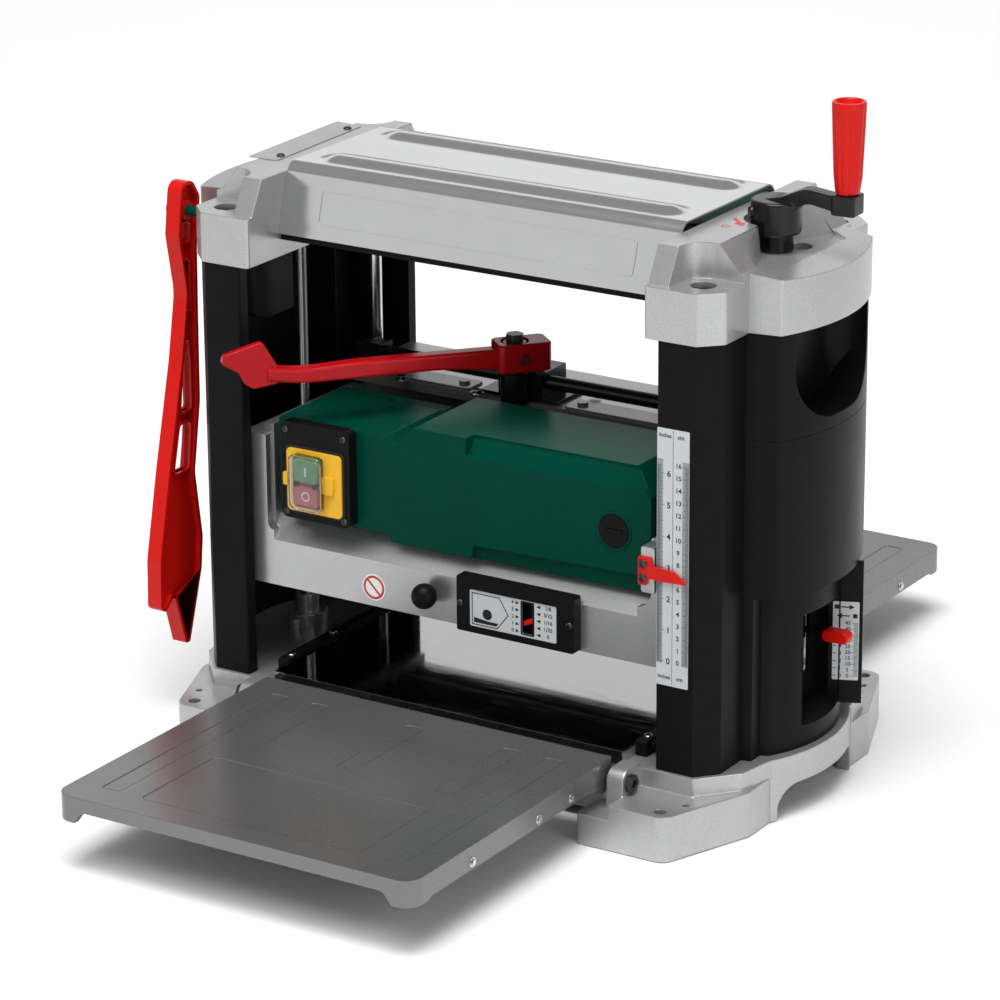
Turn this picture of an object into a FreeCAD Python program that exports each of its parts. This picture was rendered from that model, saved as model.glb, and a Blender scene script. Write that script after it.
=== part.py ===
"""Portable thickness planer: a four-column bench machine with a motorised carriage that
rides on guide posts above a polished table, moved by two lead screws and a top crank.

Millimetres. Origin: centre of the four base bolt holes, on the plane the base stands on.
+X runs along the cutterhead towards the crank side, -Y is the infeed side, +Z is up.
"""
import FreeCAD
import Part
import math
import os

V = FreeCAD.Vector

# ---- Driving dimensions -------------------------------------------------------------
CUT_WIDTH = 330.0            # widest board
OPENING = 66.0               # board height that the carriage stands at
KNIFE_RADIUS = 24.0          # cutting circle
TABLE_TOP = 63.0
TABLE_SHEET = 1.5
TABLE_HALF_X = CUT_WIDTH / 2 + 1.0
TABLE_HALF_Y = 132.0

PAD_TOP = 38.0
PLINTH_TOP = 53.0
BOLT_X = 221.5               # half spacing of the base bolt holes
BOLT_Y = 168.0
BOLT_HOLE_R = 4.75

POST_X = 220.0
POST_Y = 105.0
POST_R = 8.0
SCREW_X = 224.0
SCREW_R = 6.0
RUN_GAP = 0.05               # radial clearance of a shaft in its own bore

COLUMN_IN = 193.6
COLUMN_OUT = 242.3
COLUMN_FRONT = 128.2
COLUMN_BACK = 78.5
COLUMN_WALL = 3.0
CAP_BOTTOM = 402.0
CAP_PAD = 443.0
CAP_TOP = 471.0
CAP_IN = 182.5
CAP_OUT = 244.5
CAP_FRONT = 130.0
CAP_RIDGE = 222.5            # where a cap's flat top breaks into its outer slope
CRANK_FLOOR = 446.0          # floor of the crank pocket

SIDE_CORNER_X = 268.2        # where the flat front of a side cover meets its curved flank
SIDE_CORNER_Y = 71.5
SIDE_MID_X = 285.5
COVER_SEAM = 317.0
COVER_STEP = 188.0
COVER_INSET = 12.0
PLINTH_REACH = 6.5           # how far the base shows round the foot of a side cover
SHELL = 3.0

COVER_TOP = 478.0
COVER_EDGE = 422.0
RIB_HEIGHT = 3.5
SHEET = 1.5

CARRIAGE_FRONT = -113.0
BAR_BOTTOM = 131.0
BAR_TOP = 178.0
FLOOR_TOP = 188.0
RIB_X = (-120, -60, 0, 60, 120)
DECK_TOP = 278.0
PLATE_IN = 180.0
PLATE_OUT = 190.0
KNIFE_Z = TABLE_TOP + OPENING + KNIFE_RADIUS
ROLLER_R = 17.0
ROLLER_Y = 55.0
ROLLER_Z = TABLE_TOP + OPENING - 0.7 + ROLLER_R
MOTOR_Y = -50.0
MOTOR_Z = 236.0
MOTOR_PULLEY_R = 11.0
CUTTER_PULLEY_R = 20.0
BELT_X = (168.5, 175.5)

FOLD_Y = 150.0               # hinge axis of the two extension tables
FOLD_Z = 46.7
EXTENSION_END = 427.0
EMBOSS = 0.5                 # depth of the channels pressed into the extension tables
EXTENSION_HINGE_END = 144.5

LEVER_X = -24.0
LEVER_Y = 16.0
LEVER_ANGLE = 229.5          # heading of the lock lever, from +X
LEVER_BOTTOM = 306.0
LEVER_TOP = 330.0
ROD_Y = 32.0
ROD_Z = 294.0
ROD_R = 6.0

DEPTH_STOP_Z = 132.0         # the depth stop as it is set, half way up its slot
STICK_IN = -266.0            # face of the push stick next to the machine
STICK_THICK = 14.0
PEG_Y = -94.5
PEG_Z = 431.0

CRANK_ARM = 60.0
CRANK_ANGLE = 2.0            # heading of the crank arm, from +X
CRANK_END = 498.0            # top of the arm's outer block
GRIP_LENGTH = 72.0

PLANES = {
    "xy": (V(1, 0, 0), V(0, 1, 0), V(0, 0, 1)),
    "yz": (V(0, 1, 0), V(0, 0, 1), V(1, 0, 0)),
    "xz": (V(1, 0, 0), V(0, 0, 1), V(0, 1, 0)),
}


# ---- Shape helpers ------------------------------------------------------------------
def box(x0, x1, y0, y1, z0, z1):
    return Part.makeBox(x1 - x0, y1 - y0, z1 - z0, V(x0, y0, z0))


def bar(radius, start, end):
    """Round bar between two points."""
    start = V(*start)
    along = V(*end) - start
    return Part.makeCylinder(radius, along.Length, start, along)


def tube(outer, inner, start, end):
    return bar(outer, start, end).cut(bar(inner, start, end))


def closed_wire(corners):
    """Closed wire through (point, radius) corners; radius 0 leaves the corner sharp."""
    turns = []
    for index, (point, radius) in enumerate(corners):
        back = (corners[index - 1][0] - point).normalize()
        ahead = (corners[(index + 1) % len(corners)][0] - point).normalize()
        if radius == 0:
            turns.append((point, None, point))
            continue
        half = back.getAngle(ahead) / 2
        reach = radius / math.tan(half)
        centre = point + (back + ahead).normalize() * (radius / math.sin(half))
        middle = centre + (point - centre).normalize() * radius
        turns.append((point + back * reach, middle, point + ahead * reach))
    edges = []
    for index, (start, middle, end) in enumerate(turns):
        if middle:
            edges.append(Part.Arc(start, middle, end).toShape())
        following = turns[(index + 1) % len(turns)][0]
        if (following - end).Length > 1e-6:
            edges.append(Part.makeLine(end, following))
    return Part.Wire(edges)


def plate(plane, corners, low, high):
    """Solid of one flat outline: corners are (a, b) or (a, b, radius) in the plane."""
    first, second, normal = PLANES[plane]
    placed = []
    for corner in corners:
        point = first * corner[0] + second * corner[1] + normal * low
        placed.append((point, corner[2] if len(corner) > 2 else 0))
    return Part.Face(closed_wire(placed)).extrude(normal * (high - low))


def rounded_box(plane, a0, a1, b0, b1, low, high, radius):
    corners = [(a0, b0, radius), (a1, b0, radius), (a1, b1, radius), (a0, b1, radius)]
    return plate(plane, corners, low, high)


def join(shapes):
    return shapes[0].multiFuse(shapes[1:]).removeSplitter()


def mirror_x(shape):
    return shape.mirror(V(0, 0, 0), V(1, 0, 0))


def mirror_y(shape):
    return shape.mirror(V(0, 0, 0), V(0, 1, 0))


def four_corners(shape):
    """The shape and its copies in the other three corners."""
    pair = [shape, mirror_y(shape)]
    return pair + [mirror_x(part) for part in pair]


def both_sides(shape):
    return [shape, mirror_x(shape)]


def turned(shape, angle, centre, axis=V(0, 0, 1)):
    copy = shape.copy()
    copy.rotate(V(*centre), axis, angle)
    return copy


def hexagon(radius, x=0.0, y=0.0):
    """Corners of a hexagon of that corner radius."""
    return [(x + radius * math.cos(math.radians(60 * k)),
             y + radius * math.sin(math.radians(60 * k))) for k in range(6)]


def loop_area(plane, centre_a, radius_a, centre_b, radius_b, low, high):
    """Solid inside a tight belt line round two circles."""
    first, second, normal = PLANES[plane]
    point_a = first * centre_a[0] + second * centre_a[1] + normal * low
    point_b = first * centre_b[0] + second * centre_b[1] + normal * low
    along = point_b - point_a
    distance = along.Length
    along.normalize()
    across = normal.cross(along)
    lean = (radius_a - radius_b) / distance
    spread = math.sqrt(1 - lean * lean)
    up = along * lean + across * spread
    down = along * lean - across * spread
    edges = [
        Part.makeLine(point_a + up * radius_a, point_b + up * radius_b),
        Part.Arc(point_b + up * radius_b, point_b + along * radius_b,
                 point_b + down * radius_b).toShape(),
        Part.makeLine(point_b + down * radius_b, point_a + down * radius_a),
        Part.Arc(point_a + down * radius_a, point_a - along * radius_a,
                 point_a + up * radius_a).toShape(),
    ]
    return Part.Face(Part.Wire(edges)).extrude(normal * (high - low))


def belt(plane, centre_a, radius_a, centre_b, radius_b, thick, low, high):
    outer = loop_area(plane, centre_a, radius_a + thick, centre_b, radius_b + thick, low, high)
    return outer.cut(loop_area(plane, centre_a, radius_a, centre_b, radius_b, low, high))


def save(node, shapes):
    """Write one node; every entry is a separate solid."""
    os.makedirs("parts", exist_ok=True)
    if not isinstance(shapes, list):
        shapes = [shapes]
    solids = []
    for shape in shapes:
        solids.extend(shape.Solids)
    for solid in solids:
        if not solid.isValid() or solid.Volume <= 0:
            print("BAD SOLID in", node)
    result = solids[0] if len(solids) == 1 else Part.makeCompound(solids)
    result.exportStep("parts/" + node + ".step")
    print(node, len(solids), "solids", round(result.Volume), "mm3")


# ---- Base and tables ----------------------------------------------------------------
def make_base():
    half = [(0, -131), (229, -131, 4), (256, -100, 8), (262, -66), (262, 0)]
    quarter = plate("xy", half + [(0, 0)], 0, PLINTH_TOP)
    flank = side_body(PLINTH_REACH - COVER_INSET, 0, PLINTH_TOP, root=200)
    flank = flank.common(box(200, 300, -100, 0, 0, PLINTH_TOP))
    pad = plate("xy", [(152, -120), (152, -179.5, 4), (231, -179.5, 12), (262, -100, 4),
                       (262, -60), (200, -60)], 0, PAD_TOP)
    pad = pad.cut(box(150, 181, -190, -131, 26, PAD_TOP + 1))
    lug = plate("yz", [(-131, 20), (-131, 58, 4), (-159, 58, 9), (-161, 20)], 168, 183)
    deck = box(0, TABLE_HALF_X, -131, 0, 40, TABLE_TOP - TABLE_SHEET)
    quarter = join([quarter, flank, pad, lug, deck])

    wall = 8.0
    hollow = plate("xy", [(0, -131 + wall), (222, -131 + wall), (250, -96), (254, -60),
                          (254, 0), (0, 0)], -1, 44)
    hollow = join([hollow, side_body(PLINTH_REACH - COVER_INSET - wall, -1, 44, root=200)])
    hollow = hollow.common(box(-1, 300, -131, 0, -1, 44))
    hollow = hollow.cut(box(150, 158, -131, 0, -1, 44))
    hollow = hollow.cut(bar(16, (POST_X, -POST_Y, -1), (POST_X, -POST_Y, 44)))
    hollow = hollow.cut(bar(17, (SCREW_X, 0, 34), (SCREW_X, 0, 44)))
    pad_hollow = plate("xy", [(159, -131), (159, -172.5), (226, -172.5), (248, -131)], -1, 20)
    pad_hollow = pad_hollow.cut(bar(12, (BOLT_X, -BOLT_Y + 1, -1), (BOLT_X, -BOLT_Y + 1, 20)))
    quarter = quarter.cut(hollow).cut(pad_hollow)

    front_gap = box(-1, 145, -140, -131 + wall + 1, -1, 8)
    arch = plate("yz", [(-60, -1), (-60, 28, 20), (1, 28), (1, -1)], 240, 290)
    chain_way = box(140, 165, -36, 1, 12, 36)
    quarter = quarter.cut(front_gap).cut(arch).cut(chain_way)

    base = join(four_corners(quarter))
    for sign_x in (-1, 1):
        bearing = V(sign_x * SCREW_X, 0, 20)
        base = base.cut(Part.makeCylinder(SCREW_R + 1.5, 50, bearing))
        for sign_y in (-1, 1):
            bolt = V(sign_x * BOLT_X, sign_y * BOLT_Y, -1)
            small = V(sign_x * 232, sign_y * 147, 10)
            post = V(sign_x * POST_X, sign_y * POST_Y, PLINTH_TOP - 10)
            pivot = V(sign_x * 175, sign_y * FOLD_Y, FOLD_Z)
            base = base.cut(Part.makeCylinder(BOLT_HOLE_R, PAD_TOP + 2, bolt))
            base = base.cut(Part.makeCylinder(2.5, 40, small))
            base = base.cut(Part.makeCylinder(POST_R, 20, post))
            base = base.cut(Part.makeCylinder(5, 20, pivot - V(10, 0, 0), V(1, 0, 0)))
    return base


def make_main_table():
    sheet = box(-TABLE_HALF_X, TABLE_HALF_X, -TABLE_HALF_Y, TABLE_HALF_Y,
                TABLE_TOP - TABLE_SHEET, TABLE_TOP)
    lip = box(-TABLE_HALF_X, TABLE_HALF_X, -TABLE_HALF_Y, -131, 52, TABLE_TOP)
    return join([sheet, lip, mirror_y(lip)])


def make_table_rails():
    rail = rounded_box("yz", -112, 112, PLINTH_TOP, TABLE_TOP + 3, TABLE_HALF_X + 0.5, 176, 2)
    screws = [bar(4, (176, y, 60), (178.5, y, 60)) for y in (-100, -40, 40, 100)]
    return both_sides(join([rail] + screws))


def make_extension():
    """Infeed extension table: a cast plate with a deep rim, ears and corner feet."""
    half = 164.0
    plan = [(-half, -EXTENSION_END, 14), (half, -EXTENSION_END, 14),
            (half, -EXTENSION_HINGE_END), (-half, -EXTENSION_HINGE_END)]
    rim = plate("xy", plan, 41, TABLE_TOP)
    inner = [(-half + 6, -EXTENSION_END + 6, 9), (half - 6, -EXTENSION_END + 6, 9),
             (half - 6, -EXTENSION_HINGE_END - 22), (-half + 6, -EXTENSION_HINGE_END - 22)]
    table = rim.cut(plate("xy", inner, 40, TABLE_TOP - 4))
    for x in (-82, 0, 82):
        table = table.fuse(box(x - 2, x + 2, -EXTENSION_END + 5, -165, 48, TABLE_TOP - 3))
    table = table.fuse(box(-half + 5, half - 5, -290, -286, 48, TABLE_TOP - 3))
    for x, end in ((-130, -400), (-91, -274), (0, -274), (91, -274), (130, -400)):
        channel = rounded_box("xy", x - 8.5, x + 8.5, end, -172, TABLE_TOP - EMBOSS, 70, 3)
        table = table.cut(channel)
    table = table.cut(rounded_box("xy", -100, 100, -402, -305, TABLE_TOP - EMBOSS, 70, 5))
    shallow = plate("xz", [(-146, 40), (-138, 51, 8), (138, 51, 8), (146, 40)], -440, -410)
    side_shallow = plate("yz", [(-408, 40), (-400, 43.5), (-180, 43.5), (-172, 40)], -170, 170)
    table = table.cut(shallow).cut(side_shallow)
    between = box(-half + 16, half - 16, -166, -140, 30, TABLE_TOP - 12)
    table = table.cut(between)
    ear = plate("yz", [(-163, 36.5, 5), (-EXTENSION_HINGE_END, 36.5, 6),
                       (-EXTENSION_HINGE_END, 60), (-163, 60)], half - 16, half)
    table = join([table] + both_sides(ear))
    for sign in (-1, 1):
        hole = V(sign * 172, -FOLD_Y, FOLD_Z)
        table = table.cut(Part.makeCylinder(5 + RUN_GAP, 30, hole, V(-sign, 0, 0)))
    return table


def make_hinge_pins():
    shank = bar(5, (149, -FOLD_Y, FOLD_Z), (183, -FOLD_Y, FOLD_Z))
    head = plate("yz", hexagon(7.5, -FOLD_Y, FOLD_Z), 183, 188)
    head = head.cut(bar(3.2, (185, -FOLD_Y, FOLD_Z), (189, -FOLD_Y, FOLD_Z)))
    return four_corners(join([shank, head]))


# ---- Columns, posts and side covers -------------------------------------------------
def make_column():
    """Front column on the crank side: a channel folded round its guide post."""
    outer = [(COLUMN_IN, -COLUMN_FRONT, 2), (227, -COLUMN_FRONT, 2), (COLUMN_OUT, -111, 2),
             (COLUMN_OUT, -COLUMN_BACK), (COLUMN_OUT - COLUMN_WALL, -COLUMN_BACK),
             (COLUMN_OUT - COLUMN_WALL, -109.8), (225.6, -COLUMN_FRONT + COLUMN_WALL),
             (COLUMN_IN + COLUMN_WALL, -COLUMN_FRONT + COLUMN_WALL),
             (COLUMN_IN + COLUMN_WALL, -116.5), (COLUMN_IN, -116.5)]
    return plate("xy", outer, PLINTH_TOP, CAP_BOTTOM)


def make_guide_posts():
    post = bar(POST_R, (POST_X, -POST_Y, PLINTH_TOP - 10), (POST_X, -POST_Y, CAP_BOTTOM + 16))
    post = post.cut(bar(4.2, (POST_X, -POST_Y, CAP_BOTTOM - 14), (POST_X, -POST_Y, CAP_BOTTOM + 17)))
    return four_corners(post)


def side_body(grow, z0, z1, root=COLUMN_OUT - 2.5, corner=0.0):
    """Plan of a side housing: flat ends and a shallow arc between two corners."""
    end_y = COLUMN_BACK + grow
    corner_x = SIDE_CORNER_X + grow
    corner_y = SIDE_CORNER_Y + grow
    edges = [
        Part.makeLine(V(root, end_y, z0), V(root, -end_y, z0)),
        Part.makeLine(V(root, -end_y, z0), V(corner_x, -corner_y, z0)),
        Part.Arc(V(corner_x, -corner_y, z0), V(SIDE_MID_X + grow, 0, z0),
                 V(corner_x, corner_y, z0)).toShape(),
        Part.makeLine(V(corner_x, corner_y, z0), V(root, end_y, z0)),
    ]
    body = Part.Face(Part.Wire(edges)).extrude(V(0, 0, z1 - z0))
    if corner == 0:
        return body
    standing = []
    for edge in body.Edges:
        middle = edge.CenterOfMass
        on_corner = abs(middle.x - corner_x) < 0.01 and abs(abs(middle.y) - corner_y) < 0.01
        if on_corner and abs(middle.z - (z0 + z1) / 2) < 0.01:
            standing.append(edge)
    return body.makeFillet(corner, standing)


def make_upper_cover():
    """Upper cover with a scooped carrying handle that opens upwards under the cap."""
    outer = side_body(0, COVER_SEAM, CAP_BOTTOM, corner=6)
    shell = outer.cut(side_body(-SHELL, COVER_SEAM - 1, CAP_BOTTOM + 1, root=COLUMN_OUT - 9))
    scoop_outline = [(-58, 327, 44), (58, 327, 44), (58, 420), (-58, 420)]
    scoop_plan = [(247, -58, 24), (247, 58, 24), (300, 58), (300, -58)]
    void = plate("yz", scoop_outline, 230, 300).common(plate("xy", scoop_plan, 300, 420))
    wall_outline = [(-61, 324, 47), (61, 324, 47), (61, CAP_BOTTOM), (-61, CAP_BOTTOM)]
    wall_plan = [(244, -61, 27), (244, 61, 27), (300, 61), (300, -61)]
    wall = plate("yz", wall_outline, 230, 300).common(plate("xy", wall_plan, 300, 420))
    return join([shell, wall.common(outer)]).cut(void)


def make_lower_cover(depth_window):
    """Lower cover, stepped in under a lip; the crank side also holds the depth stop."""
    upper = side_body(0, COVER_STEP, COVER_SEAM, corner=6)
    lower = side_body(-COVER_INSET, PLINTH_TOP, COVER_STEP + SHELL, corner=6)
    upper = upper.cut(side_body(-SHELL, COVER_STEP + SHELL, COVER_SEAM + 1, root=COLUMN_OUT - 9))
    inner = side_body(-COVER_INSET - SHELL, PLINTH_TOP - 1, COVER_STEP + SHELL + 1,
                      root=COLUMN_OUT - 9)
    cover = join([upper, lower]).cut(inner)
    foot = box(COLUMN_OUT - 2.5, 250, -COLUMN_BACK - 0.5, -60, PLINTH_TOP, COVER_STEP)
    foot = foot.common(side_body(0, PLINTH_TOP, COVER_STEP))
    cover = join([cover, foot, mirror_y(foot)])
    if not depth_window:
        return cover
    pocket = rounded_box("yz", -33, 39, 69, 167, 243.5, 272, 5).common(
        side_body(-COVER_INSET, 60, 180))
    cover = join([cover, pocket])
    cover = cover.cut(rounded_box("yz", -30, 36, 76, 164, 246.5, 300, 3))
    sill = plate("xz", [(256, 76), (300, 60), (300, 80), (256, 80)], -30, 36)
    cover = cover.cut(sill.common(box(250, 300, -30, 36, 69, 80)))
    slot = rounded_box("yz", 14.5, 23.5, 96, 161, 240, 250, 3)
    fin = plate("xy", [(258.5, 33), (283.5, 43.5, 1), (282.2, 46.8, 1), (258.5, 37.5)],
                68, COVER_STEP)
    return join([cover, fin]).cut(slot)


# ---- Caps and top cover -------------------------------------------------------------
def make_cap():
    """Cap casting on the crank side, without its crank pocket."""
    corner = plate("xy", [(CAP_IN, -CAP_FRONT, 3), (228, -CAP_FRONT, 3), (CAP_OUT, -113.5, 3),
                          (CAP_OUT, -70), (CAP_IN, -70)], CAP_BOTTOM, CAP_TOP)
    middle = box(CAP_IN, CAP_OUT, -76, 76, CAP_BOTTOM, CAP_TOP)
    apron = side_body(1.5, CAP_BOTTOM, CAP_TOP, root=230, corner=3)
    cap = join([corner, mirror_y(corner), middle, apron])

    outer_slope = plate("xz", [(CAP_RIDGE, CAP_TOP), (240.5, 449.5), (300, 442.5), (300, 480),
                               (CAP_RIDGE, 480)], -140, 140)
    end_slope = plate("yz", [(-123.5, CAP_PAD), (-108.5, CAP_TOP), (-108.5, 480), (-140, 480),
                             (-140, CAP_PAD)], 170, 260)
    scoop = bar(19.5, (POST_X, -POST_Y, CAP_PAD), (POST_X, -POST_Y, 480))
    scoop = join([scoop, box(POST_X - 19.5, 260, -150, -POST_Y, CAP_PAD, 480),
                  box(POST_X, 260, -150, -POST_Y + 19.5, CAP_PAD, 480)])
    bolt_way = join([bar(10, (POST_X, -POST_Y, CAP_PAD - 12), (POST_X, -POST_Y, CAP_PAD + 1)),
                     bar(5.2, (POST_X, -POST_Y, CAP_BOTTOM), (POST_X, -POST_Y, CAP_PAD)),
                     bar(POST_R, (POST_X, -POST_Y, CAP_BOTTOM - 1),
                         (POST_X, -POST_Y, CAP_BOTTOM + 16))])
    cap = cap.cut(outer_slope)
    for cutter in (end_slope, scoop, bolt_way):
        cap = cap.cut(cutter).cut(mirror_y(cutter))

    grip_space = side_body(-5, CAP_BOTTOM - 1, 436, root=248)
    pocket = box(191, 219, 34, 80, CAP_BOTTOM - 1, 454)
    return cap.cut(grip_space).cut(pocket).cut(mirror_y(pocket))


def outline_at(z, half):
    """Closed wire of a plan symmetric about the X axis, given its -Y half."""
    points = half + [(x, -y) for x, y in reversed(half)]
    return closed_wire([(V(x, y, z), 0) for x, y in points])


def make_right_cap():
    """Crank-side cap: round pocket for the crank hub, opening into a fan-shaped trough."""
    cap = make_cap()
    fan_floor = outline_at(CRANK_FLOOR, [(205, -16), (SCREW_X, -22.6), (240.7, -64), (257.5, -52)])
    fan_top = outline_at(474, [(205, -16), (CAP_RIDGE, -27), (CAP_RIDGE, -54.5), (257.5, -52)])
    trough = Part.makeLoft([fan_floor, fan_top], True, True)
    pocket = bar(25, (SCREW_X, 0, CRANK_FLOOR), (SCREW_X, 0, 480))
    spindle = bar(SCREW_R + RUN_GAP, (SCREW_X, 0, CAP_BOTTOM - 1), (SCREW_X, 0, CRANK_FLOOR + 1))
    rest = bar(10, (235, 18, CRANK_FLOOR - 8), (235, 18, CRANK_FLOOR + 1))
    return cap.cut(trough).cut(pocket).cut(spindle).cut(rest)


def make_left_cap():
    spindle = bar(SCREW_R + RUN_GAP, (SCREW_X, 0, CAP_BOTTOM - 1), (SCREW_X, 0, 430))
    return mirror_x(make_cap().cut(spindle))


def make_cap_bolts():
    head = bar(8, (POST_X, -POST_Y, CAP_PAD - 12), (POST_X, -POST_Y, CAP_PAD - 3))
    socket = plate("xy", hexagon(3.6, POST_X, -POST_Y), CAP_PAD - 8, CAP_PAD)
    shank = bar(4.2, (POST_X, -POST_Y, CAP_BOTTOM - 14), (POST_X, -POST_Y, CAP_PAD - 12))
    return four_corners(join([head, shank]).cut(socket))


def make_top_cover():
    """Bent sheet cover with two long raised ribs."""
    def profile(offset, radius):
        flank = 88 - offset
        crown = 71 - offset
        return [(-flank, COVER_EDGE), (-crown, COVER_TOP - offset, radius),
                (crown, COVER_TOP - offset, radius), (flank, COVER_EDGE)]
    half = CAP_IN
    outer = plate("yz", profile(0, 12), -half, half)
    inner = plate("yz", profile(SHEET, 10.5), -half - 1, half + 1)
    ribs = []
    hollows = []
    for y in (-45, 45):
        ribs.append(rounded_box("xy", -168, 168, y - 14, y + 14, COVER_TOP - 1,
                                COVER_TOP + RIB_HEIGHT, 13.9))
        hollows.append(rounded_box("xy", -166.5, 166.5, y - 12.5, y + 12.5, COVER_TOP - 3,
                                   COVER_TOP + RIB_HEIGHT - SHEET, 12.4))
    cover = join([outer.cut(inner)] + ribs)
    for hollow in hollows:
        cover = cover.cut(hollow)
    return cover


def make_top_frame():
    rail = box(-CAP_IN, CAP_IN, -84, -79, COVER_EDGE - 6, COVER_EDGE + 6)
    return [rail, mirror_y(rail)]


# ---- Height drive -------------------------------------------------------------------
def make_screw_bearings():
    flange = bar(16, (SCREW_X, 0, PLINTH_TOP), (SCREW_X, 0, PLINTH_TOP + 11))
    ears = [bar(7.5, (SCREW_X, y, PLINTH_TOP), (SCREW_X, y, PLINTH_TOP + 9)) for y in (-17, 17)]
    collar = bar(10, (SCREW_X, 0, PLINTH_TOP + 11), (SCREW_X, 0, PLINTH_TOP + 27))
    bore = bar(SCREW_R + RUN_GAP, (SCREW_X, 0, PLINTH_TOP - 1), (SCREW_X, 0, PLINTH_TOP + 28))
    return both_sides(join([flange, collar] + ears).cut(bore))


def make_screw(x, top):
    """Lead screw with its chain sprocket."""
    shaft = bar(SCREW_R, (x, 0, 18), (x, 0, top))
    hub = bar(22, (x, 0, 20), (x, 0, 26))
    return join([shaft, hub])


def make_feed_nuts():
    nut = tube(12, SCREW_R + RUN_GAP, (SCREW_X, 0, 195), (SCREW_X, 0, 232))
    return both_sides(nut)


def make_drive_chain():
    return belt("xy", (-SCREW_X, 0), 22.4, (SCREW_X, 0), 22.4, 4.5, 20.5, 25.5)


def make_crank():
    heading = math.radians(CRANK_ANGLE)
    hub = bar(19.8, (SCREW_X, 0, 460), (SCREW_X, 0, 487))
    hub = hub.makeFillet(2.5, [hub.Edges[0], hub.Edges[2]])
    neck = bar(13.5, (SCREW_X, 0, 446.4), (SCREW_X, 0, 461))
    boss = bar(5, (SCREW_X - 6, -6, 477), (SCREW_X - 15.5, -15.5, 477))
    arm = plate("xz", [(-8, 477), (-8, 487), (6, 490, 10), (26, 499, 20), (CRANK_ARM - 8, 496),
                       (CRANK_ARM, 496), (CRANK_ARM, 484), (CRANK_ARM - 10, 484),
                       (28, 488, 16), (14, 478, 4)], -7, 7)
    arm = arm.fuse(rounded_box("xy", CRANK_ARM - 10, CRANK_ARM + 10, -10, 10,
                               CRANK_END - 16, CRANK_END, 3))
    arm.rotate(V(0, 0, 0), V(0, 0, 1), math.degrees(heading))
    arm.translate(V(SCREW_X, 0, 0))
    end = grip_centre()
    stem = bar(5, (end.x, end.y, CRANK_END - 8), (end.x, end.y, CRANK_END + 66))
    bore = bar(SCREW_R, (SCREW_X, 0, 440), (SCREW_X, 0, 474))
    return join([hub, neck, boss, arm, stem]).cut(bore)


def grip_centre():
    heading = math.radians(CRANK_ANGLE)
    return V(SCREW_X + CRANK_ARM * math.cos(heading), CRANK_ARM * math.sin(heading), 0)


def make_crank_grip():
    end = grip_centre()
    base = V(end.x, end.y, CRANK_END + 0.4)
    handle = Part.makeCone(11.5, 13.5, GRIP_LENGTH, base)
    handle = handle.makeFillet(2.0, [edge for edge in handle.Edges if edge.Closed])
    bore = Part.makeCylinder(5 + RUN_GAP, GRIP_LENGTH - 5, base - V(0, 0, 1))
    dish = Part.makeCylinder(9, 4, base + V(0, 0, GRIP_LENGTH - 3))
    return handle.cut(bore).cut(dish)


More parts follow.
